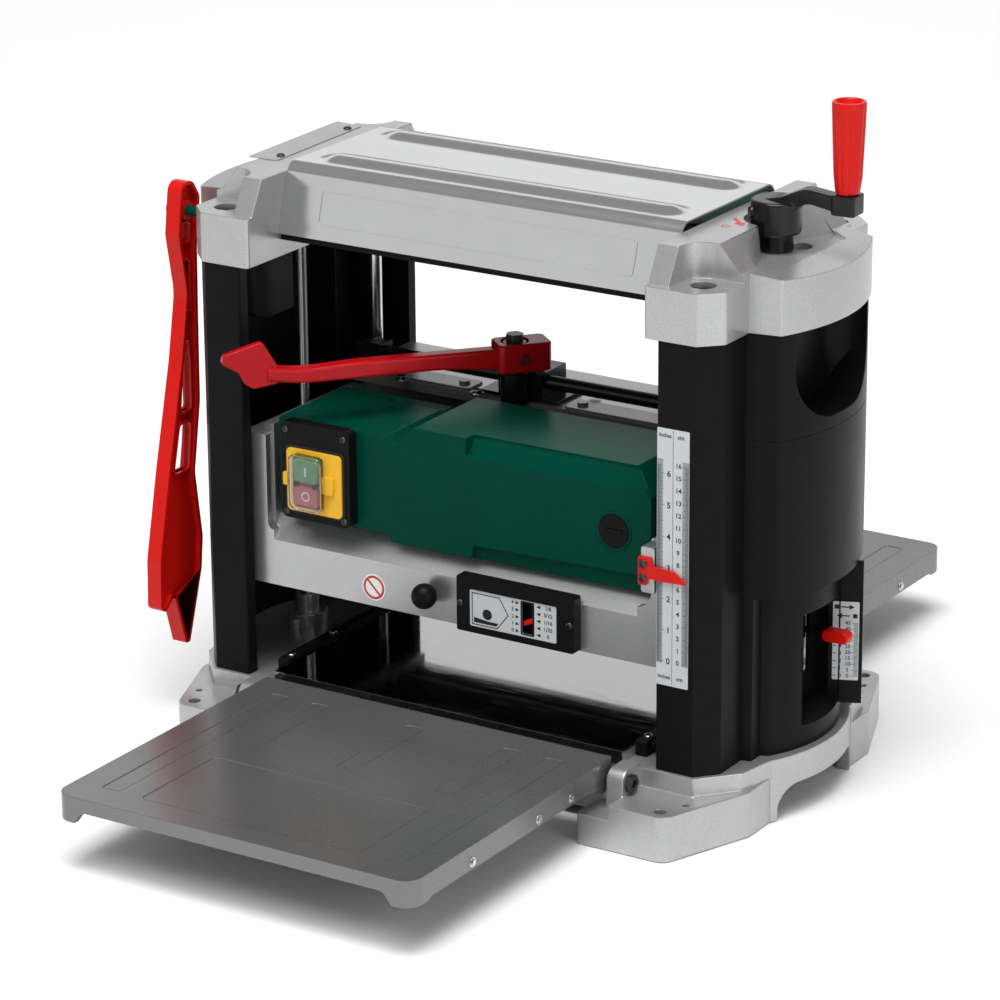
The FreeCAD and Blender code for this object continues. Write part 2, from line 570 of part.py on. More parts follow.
# ---- Carriage -----------------------------------------------------------------------
def make_carriage():
    """Casting that holds the cutterhead, rollers and motor between the four posts."""
    front = plate("xz", [(-204, BAR_BOTTOM, 1), (204, BAR_BOTTOM, 1), (204, 237, 2),
                         (180.5, 237, 2), (180.5, BAR_TOP, 14), (-182, BAR_TOP, 7),
                         (-182, 259, 2), (-204, 259, 2)], CARRIAGE_FRONT, -103)
    chamfer = plate("yz", [(CARRIAGE_FRONT - 1, BAR_TOP - 9), (CARRIAGE_FRONT - 1, BAR_TOP + 1),
                           (CARRIAGE_FRONT + 9, BAR_TOP + 1)], -176, 168)
    front = front.cut(chamfer)
    ledge = plate("yz", [(-105, BAR_TOP - 8), (-105, BAR_TOP), (-96.5, FLOOR_TOP), (-86, FLOOR_TOP),
                         (-86, FLOOR_TOP - 4), (-93, FLOOR_TOP - 4), (-97, BAR_TOP - 2),
                         (-97, BAR_TOP - 8)], -PLATE_IN - 1, PLATE_IN + 1)
    left = box(-204, -182, -104, -86, BAR_BOTTOM, 259)
    right = box(180.5, 204, -104, -86, BAR_BOTTOM, 237)
    side = box(PLATE_IN, PLATE_OUT, -104, 113, BAR_BOTTOM, DECK_TOP - 12)
    rear = box(-PLATE_OUT, PLATE_OUT, 103, 113, BAR_BOTTOM + 8, DECK_TOP)
    deck = box(-PLATE_OUT, PLATE_OUT, 18, 113, DECK_TOP - 8, DECK_TOP)
    floor = box(-PLATE_IN - 1, PLATE_IN + 1, -90, 34, FLOOR_TOP - 4, FLOOR_TOP)
    baffle = box(-PLATE_IN - 1, PLATE_IN + 1, 30, 34, FLOOR_TOP - 4, DECK_TOP - 4)
    sleeves = []
    for sleeve in four_corners(join([
            bar(15, (POST_X, -POST_Y, 152), (POST_X, -POST_Y, 232)),
            box(188, 214, -113, -88, 152, 232)])):
        sleeves.append(sleeve)
    bosses = both_sides(join([bar(14, (SCREW_X, 0, 176), (SCREW_X, 0, 224)),
                              box(188, 214, -9, 9, 176, 224)]))
    ribs = [box(x - 2, x + 2, -104, -78, 150, BAR_TOP - 3) for x in RIB_X]
    ribs += [box(x - 2, x + 2, -93, -78, BAR_TOP - 4, FLOOR_TOP - 2) for x in RIB_X]
    rear_ribs = [box(x - 2, x + 2, 78, 104, 150, 200) for x in RIB_X]
    body = join([front, ledge, left, right, side, mirror_x(side), rear, deck, floor, baffle]
                + sleeves + bosses + ribs + rear_ribs)

    for part in four_corners(bar(POST_R + RUN_GAP, (POST_X, -POST_Y, 140), (POST_X, -POST_Y, 300))):
        body = body.cut(part)
    for part in both_sides(bar(12, (SCREW_X, 0, 195), (SCREW_X, 0, 226))):
        body = body.cut(part)
    for part in both_sides(bar(SCREW_R + 1, (SCREW_X, 0, 170), (SCREW_X, 0, 196))):
        body = body.cut(part)
    body = body.cut(bar(15, (-200, 0, KNIFE_Z), (200, 0, KNIFE_Z)))
    for y in (-ROLLER_Y, ROLLER_Y):
        body = body.cut(bar(6 + RUN_GAP, (-200, y, ROLLER_Z), (200, y, ROLLER_Z)))
    body = body.cut(bar(4 + RUN_GAP, (-200, -88, 168), (200, -88, 168)))
    belt_way = box(BELT_X[0] - 2, BELT_X[1] + 2, -86, 26, 175, 195)
    knob_hole = bar(4 + RUN_GAP, (-22, -120, 154), (-22, -90, 154))
    chip_way = box(40, 120, 100, 116, 206, 264)
    gland = bar(8, (-150, 100, 230), (-150, 116, 230))
    for cutter in (belt_way, knob_hole, chip_way, gland):
        body = body.cut(cutter)
    return body


def make_motor_housing():
    """Green moulded housing: low box behind the switch, taller stepped body over the motor."""
    front_view = [(-170, 194, 3), (-170, 277, 3), (-66, 277, 2), (-58, 270, 2), (-40, 288, 2),
                  (160, 288, 3), (179, 268, 3), (179, 207, 3), (165, 203, 2), (16, 199, 2),
                  (14, FLOOR_TOP, 2), (-62, FLOOR_TOP, 2), (-66, 194, 2)]
    outer = plate("xz", front_view, -111, -16)
    shoulder = plate("yz", [(-112, 273, 0), (-106, 274, 3), (-96, 288.5, 4), (-112, 292)], 10, 178)
    low_roof = plate("xz", [(-172, 276), (-64, 276), (-64, 292), (-172, 292)], -30, -10)
    outer = outer.cut(shoulder).cut(low_roof)
    lower = box(10, 179, -106, -16, FLOOR_TOP, 208)
    outer = join([outer, lower])
    inner_view = [(-167, 197), (-167, 273), (-67, 273), (-58, 266), (-41, 284), (158, 284),
                  (177, 266), (177, 180), (167, 180), (167, FLOOR_TOP + 3), (-60, FLOOR_TOP + 3),
                  (-60, 197)]
    inner = plate("xz", inner_view, -98, -15)
    housing = outer.cut(inner)
    for step in range(5):
        vent = box(170, 182, -88 + step * 13, -82 + step * 13, 222, 262)
        housing = housing.cut(vent)
    brush = bar(12, (146, -112, MOTOR_Z), (146, -95, MOTOR_Z))
    return housing.cut(brush)


def make_brush_cap():
    cap = bar(13.5, (146, -112.5, MOTOR_Z), (146, -111, MOTOR_Z))
    cap = join([cap, bar(11.9, (146, -111, MOTOR_Z), (146, -100, MOTOR_Z))])
    return cap.cut(box(138, 154, -113, -111.4, MOTOR_Z - 1.5, MOTOR_Z + 1.5))


def make_motor_stator():
    ring = tube(38, 25, (-40, MOTOR_Y, MOTOR_Z), (60, MOTOR_Y, MOTOR_Z))
    saddle = box(-40, 60, MOTOR_Y - 20, MOTOR_Y + 20, FLOOR_TOP + 3, 210)
    return join([ring, saddle]).cut(bar(25, (-41, MOTOR_Y, MOTOR_Z), (61, MOTOR_Y, MOTOR_Z)))


def make_motor_rotor():
    shaft = bar(6, (-90, MOTOR_Y, MOTOR_Z), (BELT_X[1], MOTOR_Y, MOTOR_Z))
    stack = bar(24, (-38, MOTOR_Y, MOTOR_Z), (58, MOTOR_Y, MOTOR_Z))
    commutator = bar(15, (-74, MOTOR_Y, MOTOR_Z), (-50, MOTOR_Y, MOTOR_Z))
    pulley = bar(MOTOR_PULLEY_R, (BELT_X[0], MOTOR_Y, MOTOR_Z), (BELT_X[1], MOTOR_Y, MOTOR_Z))
    return join([shaft, stack, commutator, pulley])


def make_motor_fan():
    hub = tube(12, 6, (100, MOTOR_Y, MOTOR_Z), (122, MOTOR_Y, MOTOR_Z))
    disc = tube(36, 6, (100, MOTOR_Y, MOTOR_Z), (103, MOTOR_Y, MOTOR_Z))
    blade = box(103, 122, MOTOR_Y + 11, MOTOR_Y + 34, MOTOR_Z - 1.5, MOTOR_Z + 1.5)
    blades = [turned(blade, 40 * k, (0, MOTOR_Y, MOTOR_Z), V(1, 0, 0)) for k in range(9)]
    return join([hub, disc] + blades)


def make_drive_belt():
    return belt("yz", (MOTOR_Y, MOTOR_Z), MOTOR_PULLEY_R + 0.35, (0, KNIFE_Z),
                CUTTER_PULLEY_R + 0.35, 3, BELT_X[0] + 0.5, BELT_X[1] - 0.5)


def make_cutterhead():
    drum = bar(KNIFE_RADIUS - 1.4, (-166, 0, KNIFE_Z), (166, 0, KNIFE_Z))
    for angle in (0, 180):
        slot = box(-170, 170, -3, 8, KNIFE_Z + 12, KNIFE_Z + 30)
        drum = drum.cut(turned(slot, angle, (0, 0, KNIFE_Z), V(1, 0, 0)))
    shaft = bar(8, (-190, 0, KNIFE_Z), (190, 0, KNIFE_Z))
    pulley = bar(CUTTER_PULLEY_R, (BELT_X[0], 0, KNIFE_Z), (BELT_X[1], 0, KNIFE_Z))
    return join([drum, shaft, pulley])


def make_knives():
    """Two knives, each with its clamp bar and a row of clamp screws."""
    blade = box(-166, 166, -3, -0.4, KNIFE_Z + 12, KNIFE_Z + KNIFE_RADIUS - 0.2)
    clamp = box(-166, 166, -0.4, 7.6, KNIFE_Z + 12, KNIFE_Z + 20)
    solids = []
    for angle in (0, 180):
        for part in (blade, clamp):
            solids.append(turned(part, angle, (0, 0, KNIFE_Z), V(1, 0, 0)))
    return solids


def make_spindle_bearings():
    bearing = tube(15, 8, (PLATE_IN, 0, KNIFE_Z), (PLATE_OUT, 0, KNIFE_Z))
    return both_sides(bearing)


def make_roller(y):
    drum = bar(ROLLER_R, (-165, y, ROLLER_Z), (165, y, ROLLER_Z))
    shaft = bar(6, (-PLATE_OUT, y, ROLLER_Z), (PLATE_OUT, y, ROLLER_Z))
    return join([drum, shaft])


def make_fingers():
    """Row of anti-kickback fingers on their shaft."""
    shaft = bar(4, (-188, -88, 168), (188, -88, 168))
    finger = [(-93, 175, 3), (-83, 175, 3), (-83, 146), (-85, 128.6), (-89, 131), (-93, 150)]
    fingers = []
    for index in range(22):
        x = -157.5 + index * 15
        fingers.append(plate("yz", finger, x - 2.5, x + 2.5))
    return join([shaft] + fingers)


def make_switch_box():
    return rounded_box("xz", -161, -94, 196, 278, -122, -111, 6).cut(
        rounded_box("xz", -151.5, -118.5, 207, 255, -123, -113.5, 2))


def make_switch_plate():
    body = rounded_box("xz", -157, -104, 204, 257, -124.5, -122, 4)
    window = rounded_box("xz", -151, -119, 207.5, 254.5, -126, -121, 2)
    return body.cut(window)


def make_button(z0, z1):
    return rounded_box("xz", -149, -121, z0, z1, -127.5, -118, 2.5)


def make_switch_flap():
    """Clear rain cover hinged above the two buttons."""
    outer = rounded_box("xz", -154, -116, 205, 256, -131, -125, 5)
    inner = rounded_box("xz", -152.5, -117.5, 206.5, 254.5, -129.6, -124, 4)
    return outer.cut(inner)


def make_gauge_housing():
    body = rounded_box("xz", 8, 117, 131.5, 178, -124, CARRIAGE_FRONT, 2)
    well = box(20, 101, -125, -123, 137, 168)
    slot = box(69, 79, -125, -117, 140, 166)
    return body.cut(well).cut(slot)


def make_gauge_pointer():
    return plate("xz", [(70, 146), (78, 149.5), (78, 153.5), (70, 150)], -122.4, -118)


def make_height_pointer():
    foot = box(179.5, 192.5, -132, CARRIAGE_FRONT, 205, 228)
    arm = plate("xz", [(192, 221.5), (211, 220.6), (222.5, 211.6), (200, 210.5), (192, 210.5)],
                -132, -130.4)
    return join([foot, arm])


def make_carriage_screws():
    """Small pan-head screws on the pointer, gauge and switch box."""
    places = [(184, -132, 222.5), (184, -132, 211), (11.5, -124, 155), (113, -124, 155),
              (-155.5, -122, 271), (-99.5, -122, 271)]
    screws = []
    for x, y, z in places:
        head = bar(2.6, (x, y - 1.6, z), (x, y, z))
        screws.append(head.cut(bar(1.2, (x, y - 2, z), (x, y - 0.8, z))))
    return screws


def make_ball_knob():
    ball = Part.makeSphere(10.5, V(-22, -125, 154))
    return join([ball, bar(4, (-22, -125, 154), (-22, -98, 154))])


def make_deck_strips():
    solids = []
    for left, right in ((-156, -72), (20, 156)):
        strip = rounded_box("xy", left, right, 20, 44, DECK_TOP, DECK_TOP + 2, 3)
        heads = [bar(4.5, (x, 32, DECK_TOP + 2), (x, 32, DECK_TOP + 4.5))
                 for x in (left + 11, right - 11)]
        solids.append(join([strip] + heads))
    return solids


def make_rod_bracket():
    """Black bearing bracket of the torsion rod, with the lever's upright bearing."""
    block = box(-44, -2, 22, 60, DECK_TOP, 303)
    foot = box(-62, 12, 22, 62, DECK_TOP, DECK_TOP + 3)
    tower = bar(12, (LEVER_X, LEVER_Y, DECK_TOP), (LEVER_X, LEVER_Y, 303))
    well = bar(6 + RUN_GAP, (LEVER_X, LEVER_Y, DECK_TOP), (LEVER_X, LEVER_Y, 304))
    rod_way = bar(ROD_R + RUN_GAP, (-200, ROD_Y, ROD_Z), (200, ROD_Y, ROD_Z))
    centre = join([block, foot, tower]).cut(well).cut(rod_way)
    end = box(160, 176, ROD_Y - 9, ROD_Y + 9, DECK_TOP, ROD_Z + 9).cut(rod_way)
    return [centre, end, mirror_x(end)]


def make_torsion_rod():
    rod = bar(ROD_R, (-186, ROD_Y, ROD_Z), (186, ROD_Y, ROD_Z))
    cam = rounded_box("yz", ROD_Y - 8, ROD_Y + 8, ROD_Z - 9, ROD_Z + 8, 178, 186, 5)
    return join([rod, cam, mirror_x(cam)])


def on_lever(shape):
    """Move a shape from the lever's own axes to its place on the spindle."""
    shape.rotate(V(0, 0, 0), V(0, 0, 1), LEVER_ANGLE)
    shape.translate(V(LEVER_X, LEVER_Y, 0))
    return shape


def make_lock_lever():
    """Cast lever: clamp block on the spindle, bowed arm and an upright paddle."""
    block = rounded_box("xy", -28, 17, -14, 14, LEVER_BOTTOM, LEVER_TOP, 5)
    arm = plate("xz", [(12, 307.5), (64, 312.5, 200), (184, 312.5, 90),
                       (207, 317), (207, 328.5), (172, 324.5, 90), (140, 326.5, 200),
                       (12, 325.5)], -7, 7)
    paddle = plate("xz", [(198, 314, 2), (219, 311, 3), (226, 316, 2), (230, 325, 3),
                          (245, 334, 3), (243.5, 341, 3), (211, 350.5, 3), (199, 329, 2)], -3.5, 3.5)
    lever = join([block, arm, paddle])
    lever = lever.cut(bar(6, (0, 0, 300), (0, 0, LEVER_TOP - 3)))
    lever = lever.cut(bar(11, (0, 0, LEVER_TOP - 3), (0, 0, LEVER_TOP + 1)))
    lever = lever.cut(bar(4.5, (-4, 12, 317), (-4, 15, 317)))
    return on_lever(lever)


def make_lever_spindle():
    """Spindle of the lock lever, its washer and bolt, and the clamp screw in its side."""
    stem = bar(6, (0, 0, DECK_TOP + 0.5), (0, 0, LEVER_TOP - 3))
    washer = bar(9.5, (0, 0, LEVER_TOP - 3), (0, 0, LEVER_TOP - 1))
    head = plate("xy", hexagon(7.5), LEVER_TOP - 1, LEVER_TOP + 6)
    screw = bar(4.5, (-4, 12, 317), (-4, 15.5, 317))
    screw = screw.cut(plate("xz", hexagon(2.6, -4, 317), 13.5, 16))
    return [on_lever(stem), on_lever(join([washer, head])), on_lever(screw)]


def make_chip_hood():
    hood = box(32, 128, 113, 120, 198, 272)
    port = bar(31.5, (80, 120, 235), (80, 141, 235))
    way = bar(29, (80, 115, 235), (80, 142, 235))
    throat = box(42, 118, 112, 116, 208, 262)
    return join([hood, port]).cut(way).cut(throat)


def make_lead_gland():
    body = join([bar(8, (-150, 104, 230), (-150, 113, 230)),
                 bar(11, (-150, 113, 230), (-150, 117, 230)),
                 Part.makeCone(8, 5.5, 18, V(-150, 117, 230), V(0, 1, 0))])
    return body.cut(bar(4.2, (-150, 100, 230), (-150, 140, 230)))


# ---- Small parts on the frame ---------------------------------------------------------
def make_push_stick():
    """Flat push stick with a flanged edge, hung by the hole in its handle."""
    outline = [(-86, 455, 8), (-79, 437, 8), (-84, 401, 12), (-86, 335, 20), (-87, 268, 20),
               (-96, 210, 12), (-89, 150, 12), (-92, 126, 8), (-112, 62, 2), (-118, 62, 2),
               (-131, 110, 2), (-144, 99, 3), (-150, 103, 3), (-148.5, 144, 12),
               (-132.5, 216, 20), (-110, 306, 20), (-99.5, 362, 20), (-110, 416, 10),
               (-100, 455, 8)]
    body = plate("yz", outline, STICK_IN - STICK_THICK, STICK_IN)
    web = [(-93.5, 198, 6), (-95, 148, 10), (-98, 128, 6), (-114, 78, 2), (-127, 121, 3),
           (-142, 110, 3), (-141, 146, 10), (-128, 204, 6)]
    slots = [
        [(-97, 325, 3), (-95, 300, 8), (-95.5, 262, 3), (-110, 262, 3), (-103, 320, 3)],
        [(-97, 252, 4), (-101, 212, 3), (-122, 212, 3), (-112, 252, 4)],
        [(-92, 388, 3), (-92, 345, 2), (-96, 345, 2), (-100, 388, 3)],
        [(-90, 420, 2.5), (-91, 402, 2.5), (-103, 404, 2.5), (-98, 421, 2.5)],
    ]
    body = body.cut(plate("yz", web, STICK_IN - 5, STICK_IN + 1))
    body = body.cut(plate("yz", web, STICK_IN - STICK_THICK - 1, STICK_IN - STICK_THICK + 5))
    for slot in slots:
        body = body.cut(plate("yz", slot, STICK_IN - STICK_THICK - 1, STICK_IN + 1))
    return body.cut(bar(4.2 + RUN_GAP, (-300, PEG_Y, PEG_Z), (-240, PEG_Y, PEG_Z)))


def make_push_stick_peg():
    outer_face = STICK_IN - STICK_THICK
    stem = bar(4.2, (-CAP_OUT, PEG_Y, PEG_Z), (outer_face - 1, PEG_Y, PEG_Z))
    head = bar(7, (outer_face - 1, PEG_Y, PEG_Z), (outer_face - 4, PEG_Y, PEG_Z))
    foot = bar(8, (-CAP_OUT, PEG_Y, PEG_Z), (-CAP_OUT - 3, PEG_Y, PEG_Z))
    return join([stem, head, foot])


def make_depth_lever():
    z = DEPTH_STOP_Z
    stem = bar(3, (240, 19, z), (264, 19, z))
    knob = rounded_box("xz", 260, 287, z - 6, z + 6, 13, 25, 5)
    block = box(233, 242.8, 13, 25, z - 10, z + 10)
    return join([stem, knob, block])


# ---- Build every node -----------------------------------------------------------------
save("base_casting", make_base())
save("main_table", make_main_table())
save("table_rails", make_table_rails())
save("infeed_table", make_extension())
save("outfeed_table", mirror_y(make_extension()))
save("hinge_pins", make_hinge_pins())

column = make_column()
save("column_front_right", column)
save("column_rear_right", mirror_y(column))
save("column_front_left", mirror_x(column))
save("column_rear_left", mirror_y(mirror_x(column)))
save("guide_posts", make_guide_posts())
save("right_upper_cover", make_upper_cover())
save("left_upper_cover", mirror_x(make_upper_cover()))
save("right_lower_cover", make_lower_cover(True))
save("left_lower_cover", mirror_x(make_lower_cover(False)))
save("right_cap", make_right_cap())
save("left_cap", make_left_cap())
save("cap_bolts", make_cap_bolts())
save("top_cover", make_top_cover())
save("top_frame", make_top_frame())

save("screw_bearings", make_screw_bearings())
save("right_lead_screw", make_screw(SCREW_X, 474))
save("left_lead_screw", make_screw(-SCREW_X, 429))
save("drive_chain", make_drive_chain())
save("crank_arm", make_crank())
save("crank_grip", make_crank_grip())

save("carriage_casting", make_carriage())
save("feed_nuts", make_feed_nuts())
save("motor_housing", make_motor_housing())
save("brush_cap", make_brush_cap())
save("motor_stator", make_motor_stator())
save("motor_rotor", make_motor_rotor())
save("motor_fan", make_motor_fan())
save("drive_belt", make_drive_belt())
save("cutterhead", make_cutterhead())
save("planer_knives", make_knives())
save("spindle_bearings", make_spindle_bearings())
save("infeed_roller", make_roller(-ROLLER_Y))
save("outfeed_roller", make_roller(ROLLER_Y))
save("kickback_fingers", make_fingers())
save("switch_box", make_switch_box())
save("switch_plate", make_switch_plate())
save("start_button", make_button(232.5, 252))
save("stop_button", make_button(210, 230.5))
save("switch_flap", make_switch_flap())
save("gauge_housing", make_gauge_housing())
save("gauge_pointer", make_gauge_pointer())
save("height_pointer", make_height_pointer())
save("carriage_screws", make_carriage_screws())
save("ball_knob", make_ball_knob())
save("deck_strips", make_deck_strips())
save("rod_bracket", make_rod_bracket())
save("torsion_rod", make_torsion_rod())
save("lock_lever", make_lock_lever())
save("lever_spindle", make_lever_spindle())
save("chip_hood", make_chip_hood())
save("lead_gland", make_lead_gland())

save("push_stick", make_push_stick())
save("push_stick_peg", make_push_stick_peg())
save("depth_stop_lever", make_depth_lever())
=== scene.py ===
"""Portable thickness planer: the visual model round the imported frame."""
import math

import bmesh
import bpy
from mathutils import Matrix, Vector


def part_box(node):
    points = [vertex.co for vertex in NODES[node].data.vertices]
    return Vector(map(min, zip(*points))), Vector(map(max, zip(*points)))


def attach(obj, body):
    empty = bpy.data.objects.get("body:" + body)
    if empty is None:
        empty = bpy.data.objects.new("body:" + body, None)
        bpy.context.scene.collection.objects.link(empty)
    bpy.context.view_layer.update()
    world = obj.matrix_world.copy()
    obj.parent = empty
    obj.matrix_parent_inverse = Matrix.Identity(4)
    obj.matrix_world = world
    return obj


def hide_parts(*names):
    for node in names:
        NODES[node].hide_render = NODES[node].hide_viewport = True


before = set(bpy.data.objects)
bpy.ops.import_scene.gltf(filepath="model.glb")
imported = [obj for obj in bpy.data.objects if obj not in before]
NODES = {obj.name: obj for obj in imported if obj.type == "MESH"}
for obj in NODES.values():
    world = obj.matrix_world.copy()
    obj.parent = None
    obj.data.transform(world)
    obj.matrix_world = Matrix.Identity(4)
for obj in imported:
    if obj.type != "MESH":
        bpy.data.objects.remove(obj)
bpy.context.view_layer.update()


# ---- Places on the machine, in millimetres ----------------------------------------------
# Faces are distances towards the infeed side (-Y) or up (+Z).
COLUMN_FACE = 128.2              # front of the column that carries the height scale
BAR_FACE = 113.0                 # front of the carriage bar under the motor housing
GAUGE_FACE = 123.0               # front of the cut gauge housing
KEY_FACE = 127.4                 # front of the start and stop keys
BRUSH_CAP = (146, 236)           # centre of the motor's brush cap, seen from the front
CAP_TOP = 471.0                  # top of the end caps
DECK_TOP = 281.0                 # top of the torsion rod's brackets
PEG = (-94.5, 431)               # y and z of the push stick's peg
SCALE_ZERO = 145.1               # height of the zero line of the height scale
DEPTH_ZERO = 91.0                # height of the zero line of the depth-stop scale
THREAD_PITCH = 1.6
THREAD_DEPTH = 0.45
THREAD_SPAN = (84, 410)          # lowest and highest turn of the lead screws
SCREW_RADIUS = 5.95
LEVER_AXIS = (-24, 16)
LEVER_HEADING = 229.5            # degrees, where the lock lever points at rest
COVER_HALF_LENGTH = 182.4
BEAD_MIDDLE = 2                  # x of the middle of the cover's pressed beads
BEAD_HALF_LENGTH = 152
BEAD_Y = 44
BEAD_REACH = 19
BEAD_HEIGHT = 4.5


# ---- Camera, light and floor ----------------------------------------------------------
CAMERA_AZIMUTH = 32.45
CAMERA_ELEVATION = 19.09
CAMERA_ROLL = -0.43
CAMERA_DISTANCE = 3.4266
CAMERA_TARGET = Vector((-0.0024, -0.042, 0.2141))
CAMERA_LENS = 153.07
WORLD_STRENGTH = 0.27
LIGHT_AIM = Vector((0, 0, 0.25))
SOFTBOXES = (  # name, azimuth, elevation, distance, size, watts
    ("top_softbox", 20, 74, 3.2, (2.0, 1.6), 66),
    ("right_softbox", 66, 16, 3.4, (1.4, 2.0), 20),
    ("left_softbox", -32, 17, 3.6, (1.8, 1.4), 4.5),
    ("back_softbox", 212, 24, 3.8, (2.8, 1.5), 10.5),
)
SUN_STRENGTH = 1.75
SUN_SPREAD = 50
FLOOR_REACH = 14
FLOOR_LEVEL = -0.0004
FLOOR_WHITE = 0.94


def direction(azimuth, elevation):
    """Unit vector from the object towards a viewer at that azimuth and elevation."""
    a, e = math.radians(azimuth), math.radians(elevation)
    return Vector((math.sin(a) * math.cos(e), -math.cos(a) * math.cos(e), math.sin(e)))


def facing(location, target):
    """Turn that points a camera or lamp at its target."""
    return (location - target).to_track_quat("Z", "Y")


def make_camera():
    """Camera at the reference viewing angle."""
    data = bpy.data.cameras.new("camera")
    data.lens = CAMERA_LENS
    data.sensor_width = 36
    data.clip_end = 50
    camera = bpy.data.objects.new("camera", data)
    outward = direction(CAMERA_AZIMUTH, CAMERA_ELEVATION)
    camera.location = CAMERA_TARGET + outward * CAMERA_DISTANCE
    turn = facing(camera.location, CAMERA_TARGET).to_matrix().to_4x4()
    roll = Matrix.Rotation(math.radians(CAMERA_ROLL), 4, "Z")
    camera.matrix_world = Matrix.Translation(camera.location) @ turn @ roll
    bpy.context.scene.collection.objects.link(camera)
    bpy.context.scene.camera = camera


def area_light(name, azimuth, elevation, distance, size, power):
    """Rectangular soft lamp aimed at the machine."""
    data = bpy.data.lights.new(name, "AREA")
    data.shape = "RECTANGLE"
    data.size, data.size_y = size
    data.energy = power
    light = bpy.data.objects.new(name, data)
    light.location = LIGHT_AIM + direction(azimuth, elevation) * distance
    light.rotation_mode = "QUATERNION"
    light.rotation_quaternion = facing(light.location, LIGHT_AIM)
    bpy.context.scene.collection.objects.link(light)


def make_studio():
    """Even white surroundings, soft lamps and a plain pale floor."""
    world = bpy.data.worlds.new("studio")
    bpy.context.scene.world = world
    world.use_nodes = True
    background = world.node_tree.nodes["Background"]
    background.inputs["Color"].default_value = (1, 1, 1, 1)
    background.inputs["Strength"].default_value = WORLD_STRENGTH
    for softbox in SOFTBOXES:
        area_light(*softbox)
    sun_data = bpy.data.lights.new("soft_sun", "SUN")
    sun_data.energy = SUN_STRENGTH
    sun_data.angle = math.radians(SUN_SPREAD)
    sun = bpy.data.objects.new("soft_sun", sun_data)
    sun.rotation_mode = "QUATERNION"
    sun.rotation_quaternion = direction(10, 66).to_track_quat("Z", "Y")
    bpy.context.scene.collection.objects.link(sun)

    mesh = bpy.data.meshes.new("floor")
    corners = [(-1, -1), (1, -1), (1, 1), (-1, 1)]
    mesh.from_pydata([(a * FLOOR_REACH, b * FLOOR_REACH, FLOOR_LEVEL) for a, b in corners],
                     [], [(0, 1, 2, 3)])
    floor = bpy.data.objects.new("floor", mesh)
    bpy.context.scene.collection.objects.link(floor)
    pale = bpy.data.materials.new("pale_floor")
    pale.use_nodes = True
    surface = pale.node_tree.nodes["Principled BSDF"]
    surface.inputs["Base Color"].default_value = (FLOOR_WHITE, FLOOR_WHITE, FLOOR_WHITE, 1)
    surface.inputs["Roughness"].default_value = 0.75
    surface.inputs["Specular IOR Level"].default_value = 0.2
    mesh.materials.append(pale)
    bpy.context.scene.view_settings.view_transform = "Standard"


